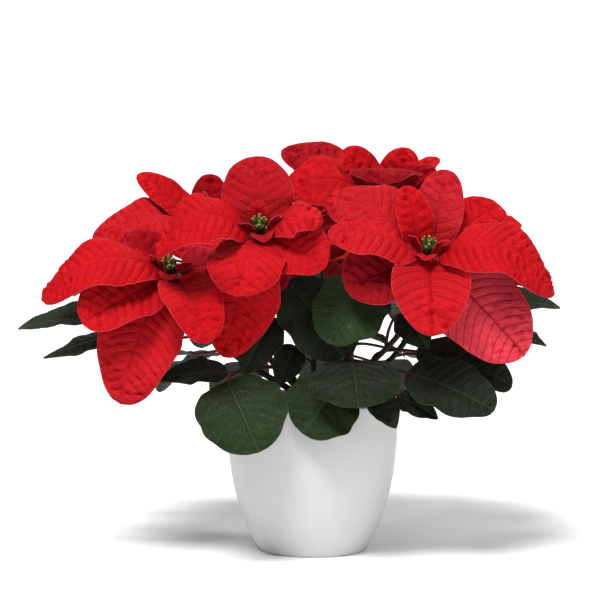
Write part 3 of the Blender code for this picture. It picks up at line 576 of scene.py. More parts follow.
class Nodes:
    """Adds shader nodes to a tree. An input is a number, a colour or another node's output."""

    def __init__(self, tree):
        self.tree = tree

    def add(self, kind, inputs=None, **settings):
        node = self.tree.nodes.new(kind)
        for name, value in settings.items():
            setattr(node, name, value)
        for name, value in (inputs or {}).items():
            self.feed(node.inputs[name], value)
        return node

    def feed(self, socket, value):
        if isinstance(value, bpy.types.NodeSocket):
            self.tree.links.new(value, socket)
        elif socket.type == "RGBA":
            socket.default_value = (*value, 1.0)
        else:
            socket.default_value = value

    def math(self, operation, *values, clamp=False):
        inputs = dict(enumerate(values))
        return self.add("ShaderNodeMath", inputs, operation=operation, use_clamp=clamp).outputs[0]

    def mix(self, share, first, second):
        """A colour between two, of which share is the part that the second has."""
        node = self.add("ShaderNodeMix", {0: share, 6: first, 7: second}, data_type="RGBA")
        return node.outputs[2]

    def ramp(self, value, low, high, low_out=0.0, high_out=1.0):
        """The value's place between low and high, eased at both ends."""
        inputs = {"Value": value, "From Min": low, "From Max": high, "To Min": low_out, "To Max": high_out}
        return self.add("ShaderNodeMapRange", inputs, interpolation_type="SMOOTHSTEP").outputs["Result"]

    def noise(self, scale, detail):
        where = self.add("ShaderNodeTexCoord").outputs["Object"]
        return self.add("ShaderNodeTexNoise", {"Vector": where, "Scale": scale, "Detail": detail}).outputs[0]

    def patches(self, scale, detail, low, high, strength=1.0):
        """Soft patches, where noise passes from low to high."""
        return self.ramp(self.noise(scale, detail), low, high, high_out=strength)

    def attribute(self, name):
        """The x, y and z of one of the piece's own vector attributes."""
        vector = self.add("ShaderNodeAttribute", attribute_name=name).outputs["Vector"]
        return list(self.add("ShaderNodeSeparateXYZ", {0: vector}).outputs)

    def bump(self, height, distance, strength=1.0):
        inputs = {"Height": height, "Distance": distance, "Strength": strength}
        return self.add("ShaderNodeBump", inputs).outputs["Normal"]

    def dress(self, looks):
        """Feeds the Principled shader, by the names of its inputs."""
        shader = self.tree.nodes["Principled BSDF"]
        for name, value in looks.items():
            self.feed(shader.inputs[name], value)


def new_material(name):
    """A material and its node helper."""
    made = bpy.data.materials.new(name)
    made.use_nodes = True
    return made, Nodes(made.node_tree)


def shade(colour, factor):
    """A colour made darker or lighter by a factor."""
    return tuple(value * factor for value in colour)


def vein_group():
    """Node group that turns a place on a blade, in millimetres, into its veins and fine relief."""
    known = bpy.data.node_groups.get("blade_veins")
    if known:
        return known
    group = bpy.data.node_groups.new("blade_veins", "ShaderNodeTree")
    for way, names in (("INPUT", ("Beside", "Along", "Gap")), ("OUTPUT", ("Veins", "Relief"))):
        for name in names:
            group.interface.new_socket(name, in_out=way, socket_type="NodeSocketFloat")
    nodes = Nodes(group)
    given = nodes.add("NodeGroupInput").outputs
    away = nodes.math("ABSOLUTE", given["Beside"])
    lean = nodes.math("MULTIPLY", away, VEIN_LEAN)
    bow = nodes.math("MULTIPLY", nodes.math("MULTIPLY", away, away), VEIN_BOW)
    start = nodes.math("SUBTRACT", nodes.math("SUBTRACT", given["Along"], lean), bow)
    phase = nodes.math("DIVIDE", start, given["Gap"])
    off = nodes.math("ABSOLUTE", nodes.math("SUBTRACT", phase, nodes.math("ROUND", phase)))
    off_mm = nodes.math("MULTIPLY", off, given["Gap"])
    side_veins = nodes.ramp(off_mm, 0.0, VEIN_WIDTH, low_out=SIDE_VEIN, high_out=0.0)
    midrib = nodes.ramp(away, MIDRIB_CORE, MIDRIB_WIDTH, low_out=1.0, high_out=0.0)
    veins = nodes.math("MAXIMUM", midrib, side_veins)
    place = nodes.add("ShaderNodeCombineXYZ", {"X": away, "Y": start}).outputs[0]
    cell = {"Vector": place, "Scale": 1 / NET_CELL}
    to_line = nodes.add("ShaderNodeTexVoronoi", cell, feature="DISTANCE_TO_EDGE").outputs[0]
    net = nodes.ramp(to_line, 0.0, NET_LINE, low_out=NET_DEPTH, high_out=0.0)
    relief = nodes.math("SUBTRACT", 1.0, nodes.math("MAXIMUM", veins, net))
    nodes.add("NodeGroupOutput", {"Veins": veins, "Relief": relief})
    return group


def blade_colour(nodes, colours, upper, veins, along, inset, vein_strength):
    """A blade's colour: its tone with painted shade and light, mottling, painted shade at its root, its veins
    and its rim, partly a painted edge highlight.
    """
    pale, dark, turn = nodes.attribute("tone_and_shade")
    # Painted shade and light: the dark share darkens blades that lie in shade, and the pale share is partly
    # the blade's own paler tone and partly painted light
    colour = nodes.mix(pale, colours.lit if upper else colours.under, colours.pale)
    colour = nodes.mix(dark, colour, colours.dark)
    mottle = nodes.patches(scale=38.0, detail=4.0, low=0.35, high=0.75, strength=0.22)
    colour = nodes.mix(mottle, colour, colours.dark)
    fresh = nodes.ramp(turn, 0.4, 1.0, high_out=0.08)
    colour = nodes.mix(fresh, colour, colours.pale)
    # Painted shade: each blade darkens toward its root, in the middle of its head or cluster where shade
    # falls
    root = nodes.ramp(along, 4.0, 34.0, low_out=0.5, high_out=0.0)
    colour = nodes.mix(root, colour, colours.dark)
    clear = nodes.ramp(turn, 0.0, 1.0, low_out=0.4 * vein_strength, high_out=1.3 * vein_strength)
    share = nodes.math("ADD", nodes.math("MULTIPLY", pale, 0.35), clear)
    shown = nodes.math("MULTIPLY", veins, share, clamp=True)
    # On the bracts' upper side the darker veins are partly their own colour and partly painted shade in the
    # grooves along them
    colour = nodes.mix(shown, colour, colours.vein if upper else colours.pale)
    # The paler rim is partly the margin's own colour and partly a painted highlight along the edge
    rim = nodes.ramp(inset, 0.1, 0.7, low_out=0.7, high_out=0.0)
    return nodes.mix(rim, colour, colours.rim)


def blade_material(name, settings, upper, vein_strength, relief_depth, roughness, specular):
    """The finish of one side of the bracts or the leaves."""
    made, nodes = new_material(name)
    beside, along, inset = nodes.attribute("on_blade")
    place = {"Beside": beside, "Along": along, "Gap": settings.vein_gap / MM}
    veins, relief = nodes.add("ShaderNodeGroup", place, node_tree=vein_group()).outputs
    grain = nodes.noise(scale=420.0, detail=2.0)
    if not upper:
        relief = nodes.math("SUBTRACT", 1.0, relief)
    height = nodes.math("ADD", relief, nodes.math("MULTIPLY", grain, 0.3))
    looks = {
        "Base Color": blade_colour(nodes, settings, upper, veins, along, inset, vein_strength),
        "Roughness": nodes.ramp(grain, 0.2, 0.8, roughness - 0.06, roughness + 0.08),
        "Normal": nodes.bump(height, relief_depth),
        "Specular IOR Level": specular,
    }
    nodes.dress(looks)
    return made


def bract_materials(settings):
    """The upper side's finish and the underside's."""
    above = {"vein_strength": 0.3, "relief_depth": 0.0008, "roughness": 0.62, "specular": 0.06}
    below = {"vein_strength": 0.2, "relief_depth": 0.0004, "roughness": 0.62, "specular": 0.06}
    upper = blade_material("bract_upper", settings, True, **above)
    under = blade_material("bract_under", settings, False, **below)
    return upper, under


def leaf_materials(settings):
    """The upper side's finish and the underside's."""
    above = {"vein_strength": 0.35, "relief_depth": 0.0007, "roughness": 0.55, "specular": 0.2}
    below = {"vein_strength": 0.4, "relief_depth": 0.0004, "roughness": 0.6, "specular": 0.5}
    upper = blade_material("leaf_upper", settings, True, **above)
    under = blade_material("leaf_under", settings, False, **below)
    return upper, under


def stem_material(name, colour, darker, roughness):
    """The finish of a branch, stalk, hub or trunk: darker patches and small rough spots."""
    made, nodes = new_material(name)
    patches = nodes.patches(scale=70.0, detail=5.0, low=0.35, high=0.7)
    spots = nodes.patches(scale=900.0, detail=2.0, low=0.55, high=0.75)
    tint = nodes.mix(patches, colour, shade(colour, darker))
    looks = {
        "Base Color": nodes.mix(nodes.math("MULTIPLY", spots, 0.3), tint, colour),
        "Roughness": nodes.ramp(patches, 0.0, 1.0, roughness, roughness + 0.15),
        "Normal": nodes.bump(nodes.math("ADD", patches, spots), distance=0.0002),
        "Specular IOR Level": 0.2,
    }
    nodes.dress(looks)
    return made


def flower_material(name, colour, darker, roughness):
    """The finish of the cups, glands and stamens: a colour that drifts to a darker one."""
    made, nodes = new_material(name)
    drift = nodes.patches(scale=320.0, detail=3.0, low=0.3, high=0.7)
    looks = {
        "Base Color": nodes.mix(drift, colour, shade(colour, darker)),
        "Roughness": nodes.ramp(drift, 0.0, 1.0, roughness, roughness + 0.15),
        "Normal": nodes.bump(nodes.noise(scale=1500.0, detail=2.0), distance=0.0001),
    }
    nodes.dress(looks)
    return made


def glaze_material(colour):
    """White glaze with the faint unevenness of fired clay."""
    made, nodes = new_material("white_glaze")
    cloud = nodes.patches(scale=14.0, detail=4.0, low=0.3, high=0.7)
    speck = nodes.noise(scale=160.0, detail=3.0)
    looks = {
        "Base Color": nodes.mix(cloud, colour, shade(colour, 0.94)),
        "Roughness": nodes.ramp(speck, 0.25, 0.75, low_out=0.38, high_out=0.5),
        "Normal": nodes.bump(nodes.noise(scale=55.0, detail=3.0), distance=0.00025, strength=0.35),
        "Coat Weight": 0.15,
        "Coat Roughness": 0.35,
    }
    nodes.dress(looks)
    return made


def soil_material(colour):
    """Damp peat: dark crumbs with lighter fibres."""
    made, nodes = new_material("damp_peat")
    lumps = nodes.patches(scale=190.0, detail=5.0, low=0.3, high=0.72)
    fibre = nodes.patches(scale=620.0, detail=3.0, low=0.58, high=0.72)
    peat = nodes.mix(lumps, shade(colour, 0.45), colour)
    looks = {
        "Base Color": nodes.mix(nodes.math("MULTIPLY", fibre, 0.6), peat, shade(colour, 3.2)),
        "Roughness": nodes.ramp(lumps, 0.0, 1.0, low_out=0.75, high_out=0.98),
        "Normal": nodes.bump(nodes.math("ADD", lumps, fibre), distance=0.0012),
    }
    nodes.dress(looks)
    return made


def floor_material(colour):
    """Matt paint, barely clouded."""
    made, nodes = new_material("pale_stage")
    looks = {
        "Base Color": nodes.mix(nodes.noise(scale=1.3, detail=2.0), colour, shade(colour, 0.985)),
        "Roughness": 0.9,
        "Specular IOR Level": 0.1,
    }
    nodes.dress(looks)
    return made


def finish_piece(name, shape, materials, replaced, smooth_up_to=SMOOTH_UP_TO):
    """The bmesh, in millimetres, as an object of the plant that stands for some CAD nodes."""
    bmesh.ops.recalc_face_normals(shape, faces=shape.faces)
    bmesh.ops.transform(shape, matrix=Matrix.Scale(MM, 4), verts=shape.verts)
    mesh = bpy.data.meshes.new(name)
    shape.to_mesh(mesh)
    shape.free()
    for material in materials:
        mesh.materials.append(material)
    mesh.shade_smooth()
    mesh.set_sharp_from_angle(angle=math.radians(smooth_up_to))
    piece = bpy.data.objects.new(name, mesh)
    bpy.context.scene.collection.objects.link(piece)
    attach(piece, "root")
    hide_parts(*replaced)
    return piece


def turned(shape, outline, sides, matrix=None):
    """Adds a closed solid turned about Z from (radius, height) points that start and end on the axis."""
    points = [shape.verts.new((radius, 0.0, height)) for radius, height in outline]
    edges = [shape.edges.new(pair) for pair in zip(points, points[1:])]
    before = set(shape.verts) - set(points)
    bmesh.ops.spin(
        shape,
        geom=points + edges,
        axis=(0, 0, 1),
        cent=(0, 0, 0),
        steps=sides,
        angle=math.tau,
        use_merge=True,
    )
    made = [vert for vert in shape.verts if vert not in before]
    bmesh.ops.remove_doubles(shape, verts=made, dist=MERGE)
    if matrix:
        made = [vert for vert in shape.verts if vert not in before]
        bmesh.ops.transform(shape, matrix=matrix, verts=made)


def upright(axis):
    """The turn that brings +Z onto an axis."""
    return Vector((0, 0, 1)).rotation_difference(Vector(axis)).to_matrix().to_4x4()


def on_hub(head):
    """The place of a head's hub, with +Z along the head's axis."""
    return Matrix.Translation(Vector(head.hub)) @ upright(head.axis)


def bezier(points, t):
    """The point at t on the Bezier curve of any number of control points."""
    points = [Vector(point) for point in points]
    while len(points) > 1:
        points = [a.lerp(b, t) for a, b in zip(points, points[1:])]
    return points[0]


def slope(points, t, step):
    """The way a Bezier curve runs at t, taken over a step to each side."""
    return (bezier(points, min(t + step, 1.0)) - bezier(points, max(t - step, 0.0))).normalized()


def wrapped_grid(shape, around, along, place):
    """Adds a grid whose columns go round and whose rows go along, put in place by a function of both."""
    made = bmesh.ops.create_grid(shape, x_segments=around, y_segments=along, size=1.0)["verts"]
    for vert in made:
        turn = round((vert.co.x + 1) / 2 * around) % around
        step = round((vert.co.y + 1) / 2 * along)
        vert.co = place(turn / around * math.tau, step / along)
    bmesh.ops.remove_doubles(shape, verts=made, dist=MERGE)


def tube(shape, controls, radius_low, radius_high, settings, knots=0.0):
    """Adds a tapering stalk along a Bezier curve, closed at both ends, with slight swellings."""
    def place(angle, t):
        run = min(max((t - TUBE_CAP) / (1 - 2 * TUBE_CAP), 0.0), 1.0)
        along = slope(controls, run, TUBE_STEP)
        side = along.cross(TUBE_SIDE).normalized()
        radius = radius_low + (radius_high - radius_low) * run
        radius *= 1 + knots * max(0.0, math.cos(math.tau * KNOT_COUNT * run)) ** KNOT_SHARPNESS
        radius *= 0.0 if t in (0.0, 1.0) else 1.0
        return bezier(controls, run) + (side * math.cos(angle) + along.cross(side) * math.sin(angle)) * radius

    wrapped_grid(shape, settings.sides, settings.steps, place)


def pot_radius(height):
    """The pot's outer radius at a height above its underside."""
    rise = min(height / POT_HEIGHT, 1.0)
    return POT_FOOT_RADIUS + (POT_RIM_RADIUS - POT_FOOT_RADIUS) * (1 - (1 - rise) ** POT_FLARE)


def pot_outline():
    """The pot's section, from the middle of its underside round the rim to the middle of its floor."""
    outline = [(0.0, 0.0)]
    for ring in range(POT_RINGS + 1):
        height = POT_HEIGHT * ring / POT_RINGS
        outline.append((pot_radius(height), height))
    for ring in range(POT_RINGS + 1):
        height = POT_HEIGHT - (POT_HEIGHT - POT_FLOOR) * ring / POT_RINGS
        outline.append((pot_radius(height) - POT_WALL, height))
    outline.append((0.0, POT_FLOOR))
    return outline


def soil_radius(height):
    """How far out the soil reaches at a height, just clear of the pot's wall."""
    return pot_radius(height) - POT_WALL - 2 * CLEARANCE


def soil_outline(hole, rim):
    """The soil's section, from the middle of its underside round its top to the bottom of its hole."""
    floor = POT_FLOOR + CLEARANCE
    outline = [(0.0, floor), (soil_radius(floor), floor)]
    for ring in range(1, SOIL_WALL_RINGS + 1):
        height = floor + (SOIL_LEVEL - floor) * ring / SOIL_WALL_RINGS
        outline.append((soil_radius(height), height))
    for ring in range(1, SOIL_TOP_RINGS + 1):
        outline.append((rim + (hole - rim) * ring / SOIL_TOP_RINGS, SOIL_LEVEL))
    outline += [(hole, SOIL_LEVEL - HOLE_DEPTH), (0.0, SOIL_LEVEL - HOLE_DEPTH)]
    return outline


def trunk_outline():
    """The trunk's section, from the middle of its foot to the top of its knuckle."""
    foot = SOIL_LEVEL - HOLE_DEPTH + CLEARANCE
    outline = [(0.0, foot)]
    for ring in range(TRUNK_RINGS + 1):
        outline.append((TRUNK_RADIUS, foot + (SOIL_LEVEL + TRUNK_ABOVE_SOIL - foot) * ring / TRUNK_RINGS))
    for ring in range(KNUCKLE_RINGS):
        turn = math.radians(KNUCKLE_START + (90 - KNUCKLE_START) * ring / KNUCKLE_RINGS)
        outline.append((KNUCKLE_RADIUS * math.cos(turn), KNUCKLE_HEIGHT + KNUCKLE_RADIUS * math.sin(turn)))
    outline.append((0.0, KNUCKLE_HEIGHT + KNUCKLE_RADIUS))
    return outline


def outline_share(t, rise, fall):
    """The blade's half width at t from base to tip, as a share of its widest."""
    peak = rise / (rise + fall)
    return (t**rise * (1 - t) ** fall) / (peak**rise * (1 - peak) ** fall)


def blade_spine(base, blade, out=None):
    """The Bezier points of a blade's midrib. A bract first runs outward from its hub."""
    tip = Vector(blade.tip)
    crest = base.lerp(tip, CREST) + Vector(blade.face).normalized() * blade.arch * CREST_PULL
    if out is None:
        return base, crest, tip
    return base, base + out * SHOULDER, crest, tip


def tip_power(blade, axis, draw):
    """The power of a blade's outline toward its tip: the greater, the more pointed."""
    if axis is not None:
        return BRACT_FALL + POINTED * draw.random()
    return LEAF_FALL + (NARROW_POINTED if blade.width < NARROW_LEAF else 0.0)


@dataclass
class Row:
    """A line across a blade: its place on the midrib, the ways to its side and up, and its half width."""

    t: float
    here: Vector
    side: Vector
    up: Vector
    share: float
    half: float
    along: float = 0.0


def blade_row(spine, blade, t, axis, fall):
    """The line across a blade at t along its midrib. A leaf has no axis."""
    face = Vector(blade.face).normalized()
    if axis is not None:
        face = axis.lerp(face, min(t / SHOULDER_SHARE, 1.0)).normalized()
    along = slope(spine, t, SLOPE_STEP)
    side = face.cross(along).normalized()
    if axis is None:
        share = outline_share(t, LEAF_RISE, fall)
        half = blade.width / 2 * share * (1 + LOBE * math.cos(math.tau * LOBES * t))
    else:
        share = outline_share(max(t - BRACT_STALK, 0) / (1 - BRACT_STALK), BRACT_RISE, fall)
        half = blade.width / 2 * share
    half = half if t > BLADE_TIP else max(half, BLADE_ROOT_HALF)
    return Row(t, bezier(spine, t), side, along.cross(side), share, half)


def blade_rows(spine, blade, axis, fall, count):
    """All the lines across a blade, closer together at its base and tip."""
    rows = []
    for index in range(count + 1):
        even = index / count
        t = even - ROW_EASE * math.sin(math.tau * even) / math.tau
        row = blade_row(spine, blade, min(max(t, 0.0), 1.0), axis, fall)
        if rows:
            row.along = rows[-1].along + (row.here - rows[-1].here).length
        rows.append(row)
    return rows


def eased(value, low, high):
    """The value's place between low and high, 0 to 1, eased at both ends."""
    share = min(max((value - low) / (high - low), 0.0), 1.0)
    return share * share * (3 - 2 * share)


@dataclass
class Habit:
    """What sets a blade apart from the others: the phases of its waves, its outline's power toward the
    tip, its place in the noise, the share that varies its colour, and the height of its quilting."""

    waves: tuple
    fall: float
    spot: float
    ruffle: float
    turn: float
    quilting: float


def draw_habit(seed, blade, axis, tone_and_shade, settings):
    """A blade's habit, drawn from its seed. The order of the draws decides its shape."""
    draw = random.Random(seed)
    waves = (draw.uniform(0, math.tau), draw.uniform(0, math.tau))
    fall = tip_power(blade, axis, draw)
    spot = draw.uniform(0, 90)
    ruffle = draw.uniform(0, math.tau)
    turn = draw.random()
    quilting = settings.quilt / MM * (1 - PALE_IS_SMOOTHER * tone_and_shade[0]) * draw.uniform(*QUILT_SPREAD)
    return Habit(waves, fall, spot, ruffle, turn, quilting)


def surface_relief(row, beside, inset, habit, settings):
    """How far a blade's skin rises at a place: quilted between its side veins, creased near its tip."""
    away = abs(beside)
    phase = (row.along - VEIN_LEAN * away - VEIN_BOW * away * away) / (settings.vein_gap / MM)
    swell = abs(math.sin(math.pi * phase)) ** QUILT_ROUNDNESS - QUILT_LEVEL
    full = QUILT_AT_EDGE + (1 - QUILT_AT_EDGE) * eased(inset, *QUILT_FROM_EDGE)
    quilt = habit.quilting * swell * eased(away, *QUILT_FROM_MIDRIB) * full
    groove = -GROOVE_DEPTH * math.exp(-((away / GROOVE_WIDTH) ** 2)) * row.share
    fold = noise.noise(Vector((beside * CREASE_BESIDE, row.along * CREASE_ALONG, habit.spot)))
    crease = 1 - CREASE_SHARPNESS * abs(fold)
    crumple = settings.crumple / MM * crease * eased(row.t, *CREASE_TOWARD_TIP)
    crumple *= eased(inset, *CREASE_FROM_EDGE)
    drift = noise.noise(Vector((beside * SWELL_BESIDE + SWELL_SHIFT, row.along * SWELL_ALONG, habit.spot)))
    swells = SWELL_HEIGHT * drift * eased(away, *SWELL_FROM_MIDRIB)
    return quilt * row.share + groove + crumple + swells * row.share


def blade_point(row, across, end, blade, habit, settings):
    """A point of a blade, given how far across its row it lies, from -1 to 1: its distance beside the
    midrib, its height over the row, and how far inside the blade's edge it lies."""
    edge = abs(across)
    side = math.copysign(EDGES_APART, across)
    drift = noise.noise(Vector((row.along * EDGE_DRIFT_SCALE, side, habit.spot)))
    beside = across * row.half * (1 + EDGE_DRIFT * drift)
    inset = min(row.half * (1 - edge), end - row.along)
    ripple = math.sin(math.tau * EDGE_WAVES * row.t + habit.waves[across > 0])
    ruffle = math.sin(math.tau * RUFFLES * row.t + habit.ruffle + across)
    lift = blade.fold * row.share * (edge + edge * edge) / 2
    lift += EDGE_WAVE * blade.width * row.share * ripple * edge * edge
    lift += RUFFLE * row.share * edge**4 * ruffle
    lift += surface_relief(row, beside, inset, habit, settings)
    return beside, lift, inset


def add_blade(shape, layers, spine, blade, seed, settings, axis=None, tone_and_shade=PLAIN_TONE):
    """Adds one thin closed blade with its relief, and notes each point's place on it."""
    on_blade, tone_and_shade_layer = layers
    habit = draw_habit(seed, blade, axis, tone_and_shade, settings)
    length = (Vector(blade.tip) - spine[0]).length
    columns = 2 * max(round(blade.width * MM / settings.column / 2), LEAST_HALF_COLUMNS)
    steps = max(round(length * MM / settings.row), LEAST_ROWS)
    rows = blade_rows(spine, blade, axis, habit.fall, steps)
    made = bmesh.ops.create_grid(shape, x_segments=columns, y_segments=steps, size=1.0)["verts"]
    for vert in made:
        across = round((vert.co.x + 1) / 2 * columns) / columns * 2 - 1
        row = rows[round((vert.co.y + 1) / 2 * steps)]
        beside, lift, inset = blade_point(row, across, rows[-1].along, blade, habit, settings)
        vert.co = row.here + row.side * beside + row.up * lift
        vert[on_blade] = Vector((beside, row.along, inset))
        vert[tone_and_shade_layer] = Vector((*tone_and_shade, habit.turn))
    under = list({face for vert in made for face in vert.link_faces})
    bmesh.ops.remove_doubles(shape, verts=made, dist=MERGE)
    under = [face for face in under if face.is_valid]
    bmesh.ops.solidify(shape, geom=under, thickness=settings.thickness / MM)
    for face in under:
        face.material_index = 1


def blade_shape():
    """An empty bmesh with the two attributes that the blades' finishes read."""
    shape = bmesh.new()
    layers = [shape.verts.layers.float_vector.new(name) for name in ("on_blade", "tone_and_shade")]
    return shape, layers


def branch_controls(head):
    """The Bezier points of a branch, from the knuckle's side to just under its hub."""
    round_angle, up_angle = (math.radians(angle) for angle in head.leaves_knuckle)
    flat = math.cos(up_angle)
    away = Vector((flat * math.cos(round_angle), flat * math.sin(round_angle), math.sin(up_angle)))
    start = Vector((0, 0, KNUCKLE_HEIGHT)) + away * (KNUCKLE_RADIUS + CLEARANCE)
    axis = Vector(head.axis).normalized()
    end = Vector(head.hub) - axis * (HUB_HEIGHT / 2 + CLEARANCE)
    reach = (end - start).length
    return start, start + away * reach * BRANCH_START, end - axis * reach * BRANCH_END, end


def stalk_controls(head, leaf):
    """The Bezier points of a leaf's stalk, from inside its branch to inside its blade."""
    start = bezier(branch_controls(head), leaf.start)
    base = Vector(leaf.base)
    into = (blade_spine(base, leaf.blade)[1] - base).normalized()
    bend = (base - start).length * STALK_BEND
    return start, start + Vector((0, 0, bend)), base - into * bend, base + into * STALK_INTO_BLADE


def settings():
    return bpy.context.scene.poinsettia


class POINSETTIA_OT_pot(bpy.types.Operator):
    """Turn the pot and round its corners"""

    bl_idname = "poinsettia.pot"
    bl_label = "Pot"

    def execute(self, context):
        sizes = settings().pot
        shape = bmesh.new()
        turned(shape, pot_outline(), sizes.sides)
        bmesh.ops.recalc_face_normals(shape, faces=shape.faces)
        corners = [edge for edge in shape.edges if edge.calc_face_angle(0.0) > SHARP_CORNER]
        bmesh.ops.bevel(
            shape,
            geom=corners,
            offset=sizes.edge / MM,
            segments=CORNER_STEPS,
            profile=0.5,
            affect="EDGES",
            material=-1,
        )
        finish_piece("white_pot", shape, [glaze_material(sizes.glaze)], ["pot"])
        return {"FINISHED"}


class POINSETTIA_OT_soil(bpy.types.Operator):
    """Fill the pot with crumbly soil that leaves a hole for the trunk"""

    bl_idname = "poinsettia.soil"
    bl_label = "Soil"

    def execute(self, context):
        shape = bmesh.new()
        hole = TRUNK_RADIUS + CLEARANCE
        rim = soil_radius(SOIL_LEVEL)
        turned(shape, soil_outline(hole, rim), SOIL_SIDES)
        self.roughen(shape, hole, rim)
        self.add_crumbs(shape, hole, rim)
        peat = soil_material(settings().pot.soil)
        finish_piece("peat_soil", shape, [peat], ["soil"], smooth_up_to=SOIL_SMOOTH_UP_TO)
        return {"FINISHED"}

    def roughen(self, shape, hole, rim):
        """Gives the soil's top its waves and lumps."""
        for vert in shape.verts:
            away = math.hypot(vert.co.x, vert.co.y)
            on_top = vert.co.z > SOIL_LEVEL - SOIL_TOP
            if on_top and hole + SOIL_FLAT_EDGE < away < rim - SOIL_FLAT_EDGE:
                wave = math.sin(WAVE_X * vert.co.x + WAVE_START_X)
                cross = math.sin(WAVE_Y * vert.co.y + WAVE_START_Y)
                vert.co.z += SOIL_WAVE * wave * cross
                vert.co.z += SOIL_LUMP * noise.noise(vert.co * SOIL_LUMP_SCALE)

    def add_crumbs(self, shape, hole, rim):
        draw = random.Random("crumbs")
        for _ in range(CRUMB_COUNT):
            away = math.sqrt(draw.uniform((hole + CRUMB_FROM_HOLE) ** 2, (rim - CRUMB_FROM_RIM) ** 2))
            angle = draw.uniform(0, math.tau)
            size = draw.uniform(CRUMB_LEAST, CRUMB_MOST)
            height = SOIL_LEVEL + CRUMB_RISE * size
            place = Matrix.Translation((away * math.cos(angle), away * math.sin(angle), height))
            squash = Matrix.Diagonal((1.0, draw.uniform(*CRUMB_WIDE), draw.uniform(*CRUMB_TALL), 1.0))
            turn = Matrix.Rotation(draw.uniform(0, math.tau), 4, "Z")
            bmesh.ops.create_icosphere(shape, subdivisions=1, radius=size, matrix=place @ turn @ squash)


class POINSETTIA_OT_trunk(bpy.types.Operator):
    """Turn the woody trunk with its swollen knuckle"""

    bl_idname = "poinsettia.trunk"
    bl_label = "Trunk"

    def execute(self, context):
        shape = bmesh.new()
        turned(shape, trunk_outline(), TRUNK_SIDES)
        waist = KNUCKLE_HEIGHT + KNUCKLE_RADIUS * math.sin(math.radians(KNUCKLE_START))
        for vert in shape.verts:
            if vert.co.z > waist:
                vert.co += vert.co.normalized() * KNUCKLE_LUMP * noise.noise(vert.co * KNUCKLE_LUMP_SCALE)
        bark = stem_material("trunk_bark", settings().stem.bark, darker=0.4, roughness=0.7)
        finish_piece("woody_trunk", shape, [bark], ["trunk"])
        return {"FINISHED"}


class POINSETTIA_OT_branches(bpy.types.Operator):
    """Grow the branches and the leaf stalks"""

    bl_idname = "poinsettia.branches"
    bl_label = "Branches"

    def execute(self, context):
        sizes = settings().stem
        olive = stem_material("olive_branch", sizes.branch, darker=0.5, roughness=0.5)
        maroon = stem_material("maroon_stalk", sizes.stalk, darker=0.35, roughness=0.4)
        for name, head in HEADS.items():
            branch = bmesh.new()
            controls = branch_controls(head)
            tube(branch, controls, BRANCH_RADIUS_LOW, BRANCH_RADIUS_HIGH, sizes, BRANCH_KNOTS)
            finish_piece(f"{name}_branch", branch, [olive], [f"branch_{name}"])
            stalks = bmesh.new()
            for leaf in head.leaves:
                tube(stalks, stalk_controls(head, leaf), STALK_RADIUS_LOW, STALK_RADIUS_HIGH, sizes)
            finish_piece(f"{name}_stalks", stalks, [maroon], [f"branch_{name}"])
        return {"FINISHED"}


class POINSETTIA_OT_leaves(bpy.types.Operator):
    """Shape every green leaf"""

    bl_idname = "poinsettia.leaves"
    bl_label = "Leaves"

    def execute(self, context):
        sizes = settings().leaf
        materials = leaf_materials(sizes)
        for name, head in HEADS.items():
            shape, layers = blade_shape()
            for index, leaf in enumerate(head.leaves, start=1):
                spine = blade_spine(Vector(leaf.base), leaf.blade)
                tone_and_shade = LEAF_TONES_AND_SHADE.get((name, index), PLAIN_TONE)
                add_blade(shape, layers, spine, leaf.blade, f"{name}leaf{index}", sizes, tone_and_shade=tone_and_shade)
            finish_piece(f"{name}_leaves", shape, materials, [f"branch_{name}"])
        return {"FINISHED"}


class POINSETTIA_OT_bracts(bpy.types.Operator):
    """Shape every red bract round its hub"""

    bl_idname = "poinsettia.bracts"
    bl_label = "Bracts"

    def execute(self, context):
        sizes = settings().bract
        hub = stem_material("head_hub", settings().stem.branch, darker=0.4, roughness=0.5)
        materials = [*bract_materials(sizes), hub]
        for name, head in HEADS.items():
            shape, layers = blade_shape()
            self.add_hub(shape, head)
            self.add_bracts(shape, layers, name, head, sizes)
            bmesh.ops.translate(shape, verts=shape.verts, vec=Vector(head.hub))
            finish_piece(f"{name}_bracts", shape, materials, [f"bracts_{name}"])
        return {"FINISHED"}

    def add_hub(self, shape, head):
        """Adds the green end of the branch that the bracts grow from."""
        bmesh.ops.create_cone(
            shape,
            cap_ends=True,
            segments=HUB_SIDES,
            radius1=HUB_RADIUS * HUB_FOOT,
            radius2=HUB_RADIUS,
            depth=HUB_HEIGHT,
            matrix=upright(Vector(head.axis).normalized()),
        )
        for face in shape.faces:
            face.material_index = 2

    def add_bracts(self, shape, layers, name, head, sizes):
        """Adds the bracts, those with higher tips growing from higher up the hub."""
        axis = Vector(head.axis).normalized()
        heights = sorted(Vector(bract.tip).dot(axis) for bract in head.bracts)
        for index, bract in enumerate(head.bracts):
            out = Vector(bract.tip)
            height = heights.index(out.dot(axis)) / len(heights)
            out = (out - out.dot(axis) * axis).normalized()
            base = out * HUB_RADIUS * ROOT_AWAY + axis * HUB_HEIGHT * (ROOT_LOW + ROOT_RISE * height)
            spine = blade_spine(base, bract, out)
            tone_and_shade = BRACT_TONES_AND_SHADE.get((name, index + 1), PLAIN_TONE)
            add_blade(shape, layers, spine, bract, f"{name}{index}", sizes, axis, tone_and_shade)


